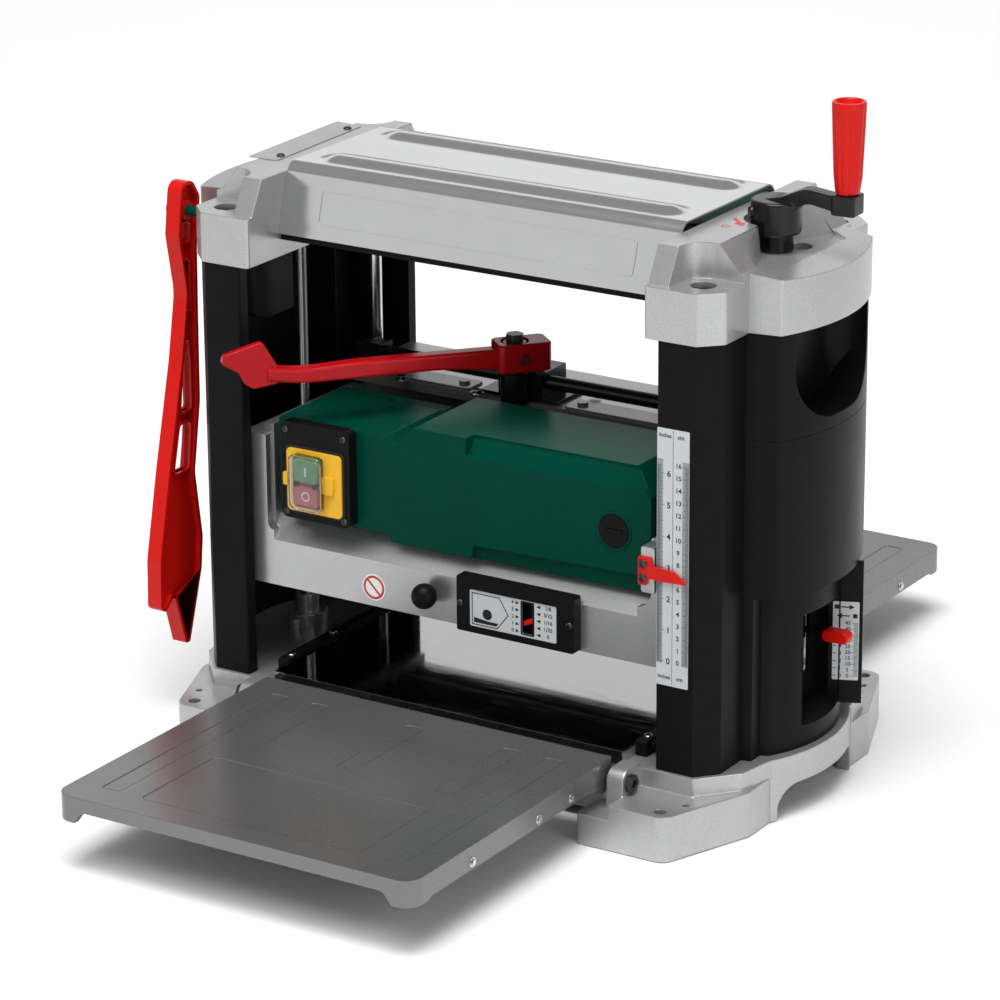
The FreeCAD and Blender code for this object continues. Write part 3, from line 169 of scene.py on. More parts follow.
# ---- Materials --------------------------------------------------------------------------
class Surface:
    """A node material with object-space grain, colour drift and roughness variation."""

    def __init__(self, name, color, rough, metal=0.0, grain=None, drift=0.05, scratches=0.0,
                 gloss=0.5, transmission=0.0):
        self.material = bpy.data.materials.new(name)
        self.material.use_nodes = True
        self.tree = self.material.node_tree
        self.shader = self.tree.nodes["Principled BSDF"]
        self.shader.inputs["Metallic"].default_value = metal
        self.shader.inputs["Specular IOR Level"].default_value = gloss
        self.shader.inputs["Transmission Weight"].default_value = transmission
        self.place = self.node("ShaderNodeTexCoord").outputs["Object"]
        self.drift_color(color, drift)
        self.vary_roughness(rough, scratches)
        if grain:
            self.bump(*grain)

    def node(self, kind, **settings):
        """New shader node with its settings."""
        made = self.tree.nodes.new(kind)
        for key, value in settings.items():
            setattr(made, key, value)
        return made

    def link(self, source, target):
        self.tree.links.new(source, target)

    def noise(self, scale, detail, stretch=(1, 1, 1)):
        """Noise in object space, from 0 to 1."""
        mapping = self.node("ShaderNodeMapping")
        mapping.inputs["Scale"].default_value = stretch
        self.link(self.place, mapping.inputs["Vector"])
        noise = self.node("ShaderNodeTexNoise")
        noise.inputs["Scale"].default_value = scale
        noise.inputs["Detail"].default_value = detail
        self.link(mapping.outputs["Vector"], noise.inputs["Vector"])
        return noise.outputs["Fac"]

    def ramp(self, value, low, high, black, white):
        """A value from low to high, remapped to run from black to white."""
        ramp = self.node("ShaderNodeMapRange")
        ramp.inputs["From Min"].default_value = low
        ramp.inputs["From Max"].default_value = high
        ramp.inputs["To Min"].default_value = black
        ramp.inputs["To Max"].default_value = white
        self.link(value, ramp.inputs["Value"])
        return ramp.outputs["Result"]

    def drift_color(self, color, drift):
        """Base colour that wanders a little over the surface."""
        mix = self.node("ShaderNodeMix", data_type="RGBA")
        mix.inputs["A"].default_value = (*[c * (1 - drift) for c in color], 1)
        mix.inputs["B"].default_value = (*[min(1.0, c * (1 + drift)) for c in color], 1)
        self.link(self.noise(38, 5), mix.inputs["Factor"])
        self.color = mix.outputs["Result"]
        self.link(self.color, self.shader.inputs["Base Color"])

    def vary_roughness(self, rough, scratches):
        """Roughness with broad patches, and with fine lines where it is scratched."""
        spread = 0.10 * rough
        broad = self.ramp(self.noise(22, 4), 0.3, 0.7, rough - spread, rough + spread)
        if scratches:
            fine = self.ramp(self.noise(45, 6, (1, 9, 9)), 0.5, 0.8, 0.0, scratches)
            total = self.node("ShaderNodeMath", operation="ADD")
            self.link(broad, total.inputs[0])
            self.link(fine, total.inputs[1])
            broad = total.outputs["Value"]
        self.link(broad, self.shader.inputs["Roughness"])

    def bump(self, scale, height):
        """Fine surface grain."""
        bump = self.node("ShaderNodeBump")
        bump.inputs["Strength"].default_value = 1.0
        bump.inputs["Distance"].default_value = height
        self.link(self.noise(scale, 2.0), bump.inputs["Height"])
        self.link(bump.outputs["Normal"], self.shader.inputs["Normal"])

    def sparkle(self, scale, amount):
        """Fine bright and dark flecks of a metallic finish."""
        cells = self.node("ShaderNodeTexVoronoi")
        cells.inputs["Scale"].default_value = scale
        self.link(self.place, cells.inputs["Vector"])
        grey = self.node("ShaderNodeRGBToBW")
        self.link(cells.outputs["Color"], grey.inputs["Color"])
        mix = self.node("ShaderNodeMix", data_type="RGBA")
        mix.blend_type = "OVERLAY"
        mix.inputs["Factor"].default_value = amount
        self.link(self.color, mix.inputs["A"])
        self.link(grey.outputs["Val"], mix.inputs["B"])
        self.color = mix.outputs["Result"]
        self.link(self.color, self.shader.inputs["Base Color"])


def make_surfaces():
    """Every material of the machine, by its short name."""
    made = {
        "casting": Surface("satin_casting", (0.43, 0.433, 0.436), 0.31, 0.66, (1100, 0.00003)),
        "carriage": Surface("milled_casting", (0.42, 0.425, 0.425), 0.30, 0.8, (1100, 0.00002)),
        "grey": Surface("grey_enamel", (0.18, 0.181, 0.183), 0.28, 0.6, None, 0.02),
        "sheet": Surface("silver_sheet", (0.58, 0.585, 0.59), 0.17, 0.9, None, 0.04, 0.03),
        "mirror": Surface("polished_sheet", (0.38, 0.384, 0.388), 0.05, 1.0, None, 0.04, 0.10),
        "black": Surface("powder_coat", (0.0052, 0.0052, 0.006), 0.40, 0.0, (1300, 0.00002),
                         0.15, 0.0, 0.07),
        "plastic": Surface("black_moulding", (0.0052, 0.0052, 0.0058), 0.36, 0.0,
                           (1500, 0.00001), 0.15, 0.0, 0.08),
        "gloss_black": Surface("black_enamel", (0.006, 0.006, 0.007), 0.22, 0.0, (900, 0.00002),
                               0.2, 0.05, 0.3),
        "green": Surface("green_moulding", (0.0, 0.045, 0.029), 0.27, 0.0, (1300, 0.00001),
                         0.06, 0.0, 0.035),
        "red": Surface("red_moulding", (0.56, 0.007, 0.004), 0.30, 0.0, (900, 0.00001), 0.05,
                       0.0, 0.18),
        "enamel": Surface("red_enamel", (0.40, 0.004, 0.007), 0.17, 0.0, (260, 0.00004), 0.1,
                          0.0, 0.16),
        "steel": Surface("ground_steel", (0.62, 0.62, 0.63), 0.16, 1.0, None, 0.06, 0.08),
        "dark": Surface("dark_steel", (0.07, 0.07, 0.073), 0.32, 0.9, (900, 0.00003), 0.15),
        "rubber": Surface("rubber", (0.016, 0.016, 0.016), 0.7, 0.0, (1200, 0.00006), 0.2,
                          0.0, 0.2),
        "yellow": Surface("yellow_moulding", (0.80, 0.44, 0.012), 0.32, 0.0, (900, 0.00001),
                          0.05, 0.0, 0.3),
        "start": Surface("green_key", (0.03, 0.23, 0.07), 0.28, 0.0, (900, 0.00001), 0.06),
        "stop": Surface("red_key", (0.50, 0.03, 0.05), 0.28, 0.0, (900, 0.00001), 0.06),
        "clear": Surface("clear_cover", (0.94, 0.95, 0.95), 0.05, 0.0, None, 0.02, 0.0, 0.5, 1.0),
        "copper": Surface("wound_core", (0.45, 0.22, 0.09), 0.35, 0.9, (600, 0.0002), 0.2),
        "label": Surface("printed_label", (0.50, 0.525, 0.54), 0.38, 0.0, (900, 0.00001), 0.04,
                         0.0, 0.3),
        "shade": Surface("label_shade", (0.24, 0.25, 0.25), 0.4, 0.0, (900, 0.00001), 0.05),
        "ink": Surface("printed_ink", (0.012, 0.012, 0.014), 0.42, 0.0, (900, 0.00001), 0.1,
                       0.0, 0.2),
        "white": Surface("white_print", (0.80, 0.80, 0.80), 0.4, 0.0, (900, 0.00001), 0.03),
        "print_red": Surface("red_print", (0.50, 0.015, 0.02), 0.4, 0.0, (900, 0.00001), 0.05),
        "film": Surface("sticker_film", (0.56, 0.565, 0.57), 0.3, 0.75, None, 0.03),
    }
    made["casting"].sparkle(1300, 0.12)
    made["carriage"].sparkle(1300, 0.07)
    return {key: surface.material for key, surface in made.items()}


NODE_SURFACE = {
    "casting": ["base_casting", "right_cap", "left_cap", "screw_bearings"],
    "carriage": ["carriage_casting"],
    "grey": ["infeed_table", "outfeed_table", "deck_strips"],
    "mirror": ["main_table"],
    "black": ["column_front_right", "column_rear_right", "column_front_left",
              "column_rear_left", "top_frame", "table_rails"],
    "gloss_black": ["rod_bracket", "torsion_rod", "crank_arm"],
    "plastic": ["right_upper_cover", "left_upper_cover", "right_lower_cover",
                "left_lower_cover", "brush_cap", "motor_fan", "switch_box", "gauge_housing",
                "ball_knob", "chip_hood", "lead_gland"],
    "green": ["motor_housing", "push_stick_peg"],
    "red": ["gauge_pointer"],
    "steel": ["guide_posts", "feed_nuts", "motor_rotor", "cutterhead", "planer_knives",
              "spindle_bearings"],
    "dark": ["hinge_pins", "cap_bolts", "drive_chain", "kickback_fingers", "lever_spindle"],
    "rubber": ["drive_belt", "infeed_roller", "outfeed_roller"],
    "copper": ["motor_stator"],
}


# ---- Mesh helpers, in millimetres --------------------------------------------------------
def flat(origin=(0, 0, 0), across=(1, 0, 0), up=(0, 0, 1)):
    """Drawing plane: outlines are drawn across and up, and stand out along its normal."""
    u = Vector(across).normalized()
    v = Vector(up).normalized()
    rows = Matrix((u, v, u.cross(v))).transposed().to_4x4()
    return Matrix.Translation(Vector(origin) / 1000) @ Matrix.Scale(0.001, 4) @ rows


FRONT = flat()                                       # stands out towards -Y
BACK = flat(across=(-1, 0, 0))                       # stands out towards +Y
TOP = flat(up=(0, 1, 0))
SIDE = flat(across=(0, 1, 0))                        # stands out towards +X


def rounded(corners, steps=6):
    """Outline through (a, b) or (a, b, radius) corners, radii turned into arcs."""
    line = []
    for index, corner in enumerate(corners):
        here = Vector(corner[:2])
        if len(corner) < 3:
            line.append(tuple(here))
            continue
        back = (Vector(corners[index - 1][:2]) - here).normalized()
        ahead = (Vector(corners[(index + 1) % len(corners)][:2]) - here).normalized()
        half = back.angle(ahead) / 2
        centre = here + (back + ahead).normalized() * (corner[2] / math.sin(half))
        start = here + back * (corner[2] / math.tan(half)) - centre
        end = here + ahead * (corner[2] / math.tan(half)) - centre
        for step in range(steps + 1):
            way = start.lerp(end, step / steps).normalized() * corner[2]
            line.append(tuple(centre + way))
    return line


def round_rect(a0, a1, b0, b1, radius):
    """Rectangle from a0 to a1 across and b0 to b1 up, with rounded corners."""
    return rounded([(a0, b0, radius), (a1, b0, radius), (a1, b1, radius), (a0, b1, radius)])


def circle(a, b, radius, count=32):
    """Regular outline round (a, b)."""
    return [(a + radius * math.cos(math.tau * k / count),
             b + radius * math.sin(math.tau * k / count)) for k in range(count)]


def offset(outline, distance):
    """Outline moved outward by a distance, or inward by a negative one."""
    points = [Vector(p) for p in outline]
    area = sum(points[i - 1].x * points[i].y - points[i].x * points[i - 1].y
               for i in range(len(points)))
    way = distance if area > 0 else -distance
    moved = []
    for i, here in enumerate(points):
        a = (here - points[i - 1]).normalized()
        b = (points[(i + 1) % len(points)] - here).normalized()
        normal = Vector((a.y, -a.x)) + Vector((b.y, -b.x))
        moved.append(tuple(here + normal * (2 * way / max(normal.length_squared, 1.0))))
    return moved


def slab(bm, plane, outline, low, high, holes=()):
    """Solid of one outline with holes, from height low to high over its plane."""
    loops = [outline] + list(holes)
    caps = []
    for height in (low, high):
        edges = []
        rings = []
        for loop in loops:
            ring = [bm.verts.new(plane @ Vector((a, b, height))) for a, b in loop]
            edges += [bm.edges.new((ring[i - 1], ring[i])) for i in range(len(ring))]
            rings.append(ring)
        if holes:
            bmesh.ops.triangle_fill(bm, edges=edges, use_beauty=True)
        else:
            bm.faces.new(rings[0])
        caps.append(rings)
    for lower, upper in zip(*caps):
        for i in range(len(lower)):
            bm.faces.new((lower[i - 1], lower[i], upper[i], upper[i - 1]))


def lathe(bm, plane, a, b, profile, segments=36, wave=None):
    """Solid of revolution about the plane's normal at (a, b); profile is (radius, height)."""
    rings = []
    for radius, height in profile:
        if radius == 0:
            rings.append([bm.verts.new(plane @ Vector((a, b, height)))])
            continue
        ring = []
        for k in range(segments):
            angle = math.tau * k / segments
            reach = radius + (wave(angle, height, radius) if wave else 0)
            point = Vector((a + reach * math.cos(angle), b + reach * math.sin(angle), height))
            ring.append(bm.verts.new(plane @ point))
        rings.append(ring)
    for low, high in zip(rings, rings[1:]):
        for k in range(segments):
            n = (k + 1) % segments
            if len(low) == 1:
                bm.faces.new((low[0], high[n], high[k]))
            elif len(high) == 1:
                bm.faces.new((low[k], low[n], high[0]))
            else:
                bm.faces.new((low[k], low[n], high[n], high[k]))


def socket_screw(bm, plane, a, b, base, radius, height):
    """Domed screw head with a sunk hexagon socket."""
    inner = radius * 0.5
    lathe(bm, plane, a, b, [(0, base), (radius, base), (radius, base + height * 0.55),
                            (radius * 0.86, base + height * 0.86), (radius * 0.62, base + height),
                            (inner, base + height)], 24)
    slab(bm, plane, circle(a, b, inner, 6), base, base + height * 0.45)


def lettering(bm, plane, text, a, b, size, lift):
    """Flat printed figures centred on a place of a plane."""
    curve = bpy.data.curves.new("figures", "FONT")
    curve.body = text
    curve.size = size
    curve.align_x = "CENTER"
    curve.align_y = "CENTER"
    curve.resolution_u = 3
    curve.offset = size * 0.02
    curve.extrude = 0.02
    holder = bpy.data.objects.new("figures", curve)
    mesh = bpy.data.meshes.new_from_object(holder)
    for vertex in mesh.vertices:
        vertex.co = plane @ Vector((a + vertex.co.x, b + vertex.co.y, lift + vertex.co.z))
    bm.from_mesh(mesh)
    bpy.data.objects.remove(holder)
    bpy.data.meshes.remove(mesh)
    bpy.data.curves.remove(curve)


def piece(name, bm, surface, body, node=None, bevel=0.0, segments=2, clamp=True):
    """Finish a mesh as a piece that rides on a body, and may stand for a CAD node."""
    bmesh.ops.recalc_face_normals(bm, faces=bm.faces)
    mesh = bpy.data.meshes.new(name)
    bm.to_mesh(mesh)
    bm.free()
    mesh.materials.append(SURFACES[surface])
    obj = bpy.data.objects.new(name, mesh)
    bpy.context.scene.collection.objects.link(obj)
    soften(obj, bevel, segments, clamp)
    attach(obj, body)
    if node:
        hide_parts(node)
    return obj


# ---- Finish of the carried-over CAD nodes ----------------------------------------------
def smooth_group(angle):
    """Geometry nodes: smooth faces, with edges sharper than the angle kept crisp."""
    group = bpy.data.node_groups.new("smooth_by_angle", "GeometryNodeTree")
    group.interface.new_socket("Geometry", in_out="INPUT", socket_type="NodeSocketGeometry")
    group.interface.new_socket("Geometry", in_out="OUTPUT", socket_type="NodeSocketGeometry")
    start = group.nodes.new("NodeGroupInput")
    end = group.nodes.new("NodeGroupOutput")
    clean = group.nodes.new("GeometryNodeRemoveAttribute")
    clean.inputs["Name"].default_value = "custom_normal"
    faces = group.nodes.new("GeometryNodeSetShadeSmooth")
    edges = group.nodes.new("GeometryNodeSetShadeSmooth")
    edges.domain = "EDGE"
    edge_angle = group.nodes.new("GeometryNodeInputMeshEdgeAngle")
    compare = group.nodes.new("FunctionNodeCompare")
    compare.data_type = "FLOAT"
    compare.operation = "LESS_THAN"
    compare.inputs["B"].default_value = math.radians(angle)
    links = group.links
    links.new(start.outputs[0], clean.inputs["Geometry"])
    links.new(clean.outputs["Geometry"], faces.inputs["Geometry"])
    links.new(faces.outputs["Geometry"], edges.inputs["Geometry"])
    links.new(edge_angle.outputs["Unsigned Angle"], compare.inputs["A"])
    links.new(compare.outputs["Result"], edges.inputs["Shade Smooth"])
    links.new(edges.outputs["Geometry"], end.inputs[0])
    return group


SHARP_ANGLE = 32
SMOOTH = smooth_group(SHARP_ANGLE)
DEFAULT_BEVEL = 0.4
BEVEL_WIDTH = {
    "base_casting": 1.2, "right_cap": 0.6, "left_cap": 0.9, "infeed_table": 0.5,
    "outfeed_table": 0.5, "cutterhead": 0, "spindle_bearings": 0, "carriage_casting": 1.0,
    "motor_housing": 0.9, "crank_arm": 1.2, "right_upper_cover": 0.8,
    "left_upper_cover": 0.8, "right_lower_cover": 0.8, "left_lower_cover": 0.8,
    "gauge_pointer": 0.2, "planer_knives": 0.15, "kickback_fingers": 0.3, "main_table": 0.3,
}
# Where the mesh is too fine in places for a free bevel, its width is held back.
CLAMPED = ("carriage_casting", "right_lower_cover", "left_lower_cover")


def soften(obj, width, segments, clamp=False):
    """Small rounded edges, then smooth shading with crisp folds."""
    if width:
        bevel = obj.modifiers.new("bevel", "BEVEL")
        bevel.width = width / 1000
        bevel.segments = segments
        bevel.limit_method = "ANGLE"
        bevel.angle_limit = math.radians(SHARP_ANGLE)
        bevel.use_clamp_overlap = clamp
        bevel.loop_slide = False
    smooth = obj.modifiers.new("smooth", "NODES")
    smooth.node_group = SMOOTH
    weighted = obj.modifiers.new("weighted", "WEIGHTED_NORMAL")
    weighted.keep_sharp = True


def finish_node(node, material):
    """Rounded edges and smooth shading on a CAD node, with its material."""
    obj = NODES[node]
    weld = obj.modifiers.new("weld", "WELD")
    weld.merge_threshold = 0.00002
    planar = obj.modifiers.new("planar", "DECIMATE")
    planar.decimate_type = "DISSOLVE"
    planar.angle_limit = math.radians(0.6)
    soften(obj, BEVEL_WIDTH.get(node, DEFAULT_BEVEL), 2, node in CLAMPED)
    obj.data.materials.clear()
    obj.data.materials.append(material)


# ---- Detailed pieces ---------------------------------------------------------------------
def make_top_cover():
    """Folded sheet with two pressed stiffening beads."""
    path = rounded([(-87.8, 422), (-71, 477.8, 12), (71, 477.8, 12), (87.8, 422)], 8)
    left, right = path[9], path[10]
    path[10:10] = [(left[0] + (right[0] - left[0]) * k / 80, left[1]) for k in range(1, 80)]
    stations = [COVER_HALF_LENGTH * (k / 75 - 1) for k in range(151)]
    bm = bmesh.new()
    rows = []
    for x in stations:
        row = []
        for y, z in path:
            end = max(abs(x - BEAD_MIDDLE) - BEAD_HALF_LENGTH, 0)
            off = min(math.hypot(end, abs(y) - BEAD_Y), BEAD_REACH)
            lift = BEAD_HEIGHT * math.cos(math.pi / 2 * off / BEAD_REACH) ** 2
            row.append(bm.verts.new(Vector((x, y, z + lift)) / 1000))
        rows.append(row)
    for a, b in zip(rows, rows[1:]):
        for k in range(len(a) - 1):
            bm.faces.new((a[k], b[k], b[k + 1], a[k + 1]))
    cover = piece("cover_sheet", bm, "sheet", "frame", "top_cover")
    thick = cover.modifiers.new("thick", "SOLIDIFY")
    thick.thickness = 0.0014
    thick.offset = -1
    cover.modifiers.move(len(cover.modifiers) - 1, 0)


def make_cover_sticker():
    """Clear film outline on each sloping flank of the cover."""
    bm = bmesh.new()
    for side in (-1, 1):
        flank = flat((0, side * 88, 422), (-side, 0, 0), (0, -side * 17, 56))
        outline = round_rect(-146, 146, 12, 40, 3)
        inner = round_rect(-145.3, 145.3, 12.7, 39.3, 2.4)
        slab(bm, flank, outline, 0.0, 0.35, [inner])
    piece("cover_film", bm, "film", "frame")


def make_push_stick():
    """Flanged stick with a thin web, rimmed windows, a notched foot and a round head."""
    outline = rounded([
        (-88, 455, 9), (-78.5, 440, 9), (-84.5, 400, 30), (-86, 335, 60), (-87, 268, 60),
        (-97, 208, 26), (-89, 150, 26), (-92, 122, 20), (-111, 62.5, 2.5), (-117, 62.5, 2.5),
        (-131, 110, 3), (-143, 98, 4), (-149.6, 103, 4), (-148.5, 144, 30), (-132.5, 216, 50),
        (-110, 306, 60), (-99.8, 362, 50), (-109, 412, 16), (-103, 455, 9)], 7)
    windows = [
        rounded([(-97, 325, 3), (-95, 300, 8), (-95.5, 262, 3), (-110, 262, 3), (-103, 320, 3)]),
        rounded([(-97, 252, 4), (-101, 212, 3), (-122, 212, 3), (-112, 252, 4)]),
        rounded([(-91.5, 388, 1.8), (-91.5, 345, 1.8), (-96, 345, 1.8), (-100, 388, 1.8)]),
        rounded([(-90, 420, 2), (-91, 404, 2), (-101, 406, 2), (-98, 420, 2)]),
    ]
    hole = circle(*PEG, 4.6, 20)
    bm = bmesh.new()
    slab(bm, SIDE, outline, -279.8, -266.2, [offset(outline, -3)])
    slab(bm, SIDE, offset(outline, -2.5), -275, -271, windows + [hole])
    for window in windows:
        slab(bm, SIDE, offset(window, 2), -277.5, -268.5, [window])
    slab(bm, SIDE, circle(*PEG, 8), -279, -267, [hole])
    piece("push_stick_moulding", bm, "red", "stick", "push_stick", 0.7)


def make_crank_grip():
    """Fluted grip with a dished end, and the collar it turns on."""
    low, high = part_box("crank_grip")
    a, b = (low.x + high.x) * 500, (low.y + high.y) * 500
    z = low.z * 1000

    def flutes(angle, height, radius):
        if radius < 9 or not z + 8 < height < z + 66:
            return 0
        return -0.9 * (0.5 + 0.5 * math.cos(12 * angle)) ** 2

    profile = [(0, 66), (5.1, 66), (5.1, 0), (8.6, 0), (9.4, 1), (10.1, 5), (10.6, 9), (11.3, 14),
               (11.8, 26), (12.4, 40), (12.9, 52), (13.2, 62), (13.4, 65), (13.4, 70),
               (12.7, 71.7), (10.6, 71.9), (9.4, 70.6), (9.0, 68.9), (0, 68.9)]
    bm = bmesh.new()
    lathe(bm, TOP, a, b, [(radius, z + height) for radius, height in profile], 96, flutes)
    piece("crank_grip_moulding", bm, "red", "grip", "crank_grip")
    bm = bmesh.new()
    lathe(bm, TOP, a, b, [(5.2, z - 0.35), (8, z - 0.35), (8.6, z - 1.2), (8.6, z - 3)], 36)
    piece("grip_collar", bm, "gloss_black", "crank")


def make_lead_screws():
    """Threaded height screws, with the sprocket hub below."""
    def thread(angle, height, radius):
        if not THREAD_SPAN[0] < height < THREAD_SPAN[1] or radius < 5:
            return 0
        turn = angle - math.tau * height / THREAD_PITCH
        return -THREAD_DEPTH * (0.5 + 0.5 * math.cos(turn))

    hub_radius = 21.8
    for name, body, x in (("left", "left_screw", -224), ("right", "crank", 224)):
        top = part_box(name + "_lead_screw")[1].z * 1000
        bm = bmesh.new()
        profile = [(0, 18), (SCREW_RADIUS, 18), (SCREW_RADIUS, 20.1), (hub_radius, 20.1),
                   (hub_radius, 25.9), (SCREW_RADIUS, 25.9)]
        profile += [(SCREW_RADIUS, 80 + 0.4 * k) for k in range(835)]
        profile += [(SCREW_RADIUS, top - 1.2), (5, top - 0.2), (0, top - 0.2)]
        lathe(bm, TOP, x, 0, profile, 18, thread)
        piece(name + "_threaded_screw", bm, "steel", body, name + "_lead_screw")


def make_carriage_hardware():
    """Screws, height pointer, brush cap trim and bracket bolts, all on the carriage."""
    bm = bmesh.new()
    for x, y, z in ((184, 132, 222.5), (184, 132, 211)):
        socket_screw(bm, FRONT, x, z, y - 0.1, 3.6, 1.7)
    for x, y, z in ((11.5, 124, 155), (113, 124, 155), (-155.5, 122, 271), (-99.5, 122, 271),
                    (-155.5, 122, 201.5), (-99.5, 122, 201.5)):
        socket_screw(bm, FRONT, x, z, y - 0.1, 2.8, 1.6)
    piece("front_screws", bm, "dark", "carriage", "carriage_screws", 0.15)
    bm = bmesh.new()
    pointer = rounded([(179.5, 205, 1.5), (187, 205, 1.5), (188.5, 211, 3), (200, 210.5, 30),
                       (222.5, 211.6), (211, 220.6, 3), (193, 221.5, 2), (190.5, 228, 1.5),
                       (179.5, 228, 1.5)])
    slab(bm, FRONT, pointer, 130, 132)
    piece("pointer_plate", bm, "red", "carriage", "height_pointer", 0.3)
    bm = bmesh.new()
    slab(bm, FRONT, round_rect(180.8, 193, 198, 236, 2.5), 112, 129.9)
    piece("pointer_lug", bm, "carriage", "carriage", None, 0.9)
    bm = bmesh.new()
    slab(bm, FRONT, circle(*BRUSH_CAP, 15.5, 48), 110.6, 112.1,
         [circle(*BRUSH_CAP, 13.8, 48)])
    piece("brush_cap_rim", bm, "green", "carriage", None, 0.3)
    bm = bmesh.new()
    slab(bm, FRONT, round_rect(138, 154, 234.6, 237.4, 1.2), 112.2, 113.3)
    piece("brush_cap_bar", bm, "plastic", "carriage", None, 0.3)
    bm = bmesh.new()
    for x, y in ((-130, 9), (-56, 9), (27, 57), (130, 57)):
        lathe(bm, TOP, x, y, [(0, DECK_TOP - 0.1), (5.5, DECK_TOP - 0.1),
                              (5.5, DECK_TOP + 1), (0, DECK_TOP + 1)], 28)
        slab(bm, TOP, circle(x, y, 4.2, 6), DECK_TOP + 0.9, DECK_TOP + 4)
    piece("bracket_bolts", bm, "steel", "carriage", None, 0.3)
    bm = bmesh.new()
    for x, z in ((40, 264), (120, 264), (40, 206), (120, 206)):
        socket_screw(bm, BACK, -x, z, 117.8, 3.4, 2)
    piece("hood_screws", bm, "dark", "carriage", None, 0.15)


def make_housing_grille():
    """Dark louvres on the crank end of the motor housing."""
    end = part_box("motor_housing")[1].x * 1000
    bm = bmesh.new()
    slab(bm, SIDE, round_rect(-96, -32, 206, 262, 5), end - 0.5, end + 0.6)
    for y in range(-92, -28, 8):
        slab(bm, SIDE, round_rect(y, y + 3, 210, 258, 1.4), end + 0.5, end + 1.4)
    piece("housing_grille", bm, "plastic", "carriage", None, 0.3)


def make_table_screws():
    """Bright screws: on the table's side rails, and on the rims of the two extensions."""
    bm = bmesh.new()
    for x in (-171, 171):
        for y in (-100, -40, 40, 100):
            socket_screw(bm, TOP, x, y, 65.9, 3.6, 1.8)
    piece("rail_screws", bm, "steel", "frame", None, 0.15)
    for body, side in (("infeed", -1), ("outfeed", 1)):
        bm = bmesh.new()
        for end in (-1, 1):
            rim = flat((end * 163.9, 0, 0), (0, end, 0))
            for y in (204.7, 252.6, 345.7):
                a = end * side * y
                lathe(bm, rim, a, 49.6, [(0, -0.2), (3.9, -0.2), (3.9, 0.7), (0, 0.7)], 24)
                slab(bm, rim, circle(a, 49.6, 2.6, 6), 0.6, 2)
        piece(body + "_rim_screws", bm, "steel", body, None, 0.2)


def tick(bm, plane, a0, a1, b, width, low):
    """Thin printed line across a scale at height b; width is half its thickness."""
    slab(bm, plane, [(a0, b - width), (a1, b - width), (a1, b + width), (a0, b + width)],
         low, low + 0.06)


def make_height_scale():
    """Inch and centimetre scale on the front right column."""
    low = COLUMN_FACE + 0.2
    bm = bmesh.new()
    slab(bm, FRONT, round_rect(194.2, 222.4, 125, 333.6, 1), COLUMN_FACE - 0.05, low)
    piece("height_scale", bm, "label", "frame")
    bm = bmesh.new()
    slab(bm, FRONT, [(216.5, 143), (222.2, 143), (222.2, 309), (216.5, 309)], low, low + 0.03)
    slab(bm, FRONT, [(194.4, 143), (199.5, 143), (199.5, 309), (194.4, 309)], low, low + 0.03)
    piece("height_scale_bands", bm, "shade", "frame")
    bm = bmesh.new()
    for k in range(161):
        length = 5 if k % 10 == 0 else 4 if k % 5 == 0 else 2.6
        tick(bm, FRONT, 222 - length, 222, SCALE_ZERO + k, 0.14, low + 0.04)
    for k in range(201):
        length = 7 if k % 32 == 0 else 5.4 if k % 16 == 0 else 4 if k % 4 == 0 else 2.6
        tick(bm, FRONT, 194.6, 194.6 + length, SCALE_ZERO + k * 25.4 / 32, 0.12, low + 0.04)
    for k in range(17):
        lettering(bm, FRONT, str(k), 213, SCALE_ZERO + 10 * k, 5.4, low + 0.06)
    for k in range(7):
        lettering(bm, FRONT, str(k), 204.6, SCALE_ZERO + 25.4 * k, 6.8, low + 0.06)
    for b in (132, 328):
        lettering(bm, FRONT, "inches", 201.2, b, 4.4, low + 0.06)
        lettering(bm, FRONT, "cm", 215, b, 5, low + 0.06)
    slab(bm, FRONT, [(208, 126), (208.35, 126), (208.35, 332.6), (208, 332.6)], low, low + 0.05)
    piece("height_scale_marks", bm, "ink", "frame")


def make_depth_scale():
    """Depth-stop scale on the fin beside the window."""
    fin = flat((258.5, 33, 0), (25, 10.5, 0))
    bm = bmesh.new()
    slab(bm, fin, round_rect(3.4, 24.4, 87.5, 154, 1), -0.02, 0.2)
    piece("depth_scale", bm, "label", "frame")
    bm = bmesh.new()
    for k in range(46):
        length = 6.5 if k % 10 == 0 else 5 if k % 5 == 0 else 3.4
        tick(bm, fin, 23.8 - length, 23.8, DEPTH_ZERO + k, 0.18, 0.2)
    for k in range(0, 46, 5):
        lettering(bm, fin, str(k), 15.6, DEPTH_ZERO + k, 4.4, 0.24)
    for k in range(7):
        tick(bm, fin, 3.8, 6.6, DEPTH_ZERO + 6.35 * k, 0.3, 0.2)
        lettering(bm, fin, str(k), 9.6, DEPTH_ZERO + 6.35 * k, 4.4, 0.24)
    for b, way in ((149.5, 1), (142, -1)):
        slab(bm, fin, [(10, b - 0.5), (17, b - 0.5), (17, b + 0.5), (10, b + 0.5)], 0.2, 0.26)
        tip = 13.5 + way * 7
        back = 13.5 + way * 3
        slab(bm, fin, [(back, b - 2.2), (tip, b), (back, b + 2.2)], 0.2, 0.26)
    slab(bm, fin, round_rect(4.6, 8.2, 147.7, 151.3, 0.4), 0.2, 0.26)
    slab(bm, fin, round_rect(19.4, 23, 140.2, 143.8, 0.4), 0.2, 0.26)
    piece("depth_scale_marks", bm, "ink", "frame")


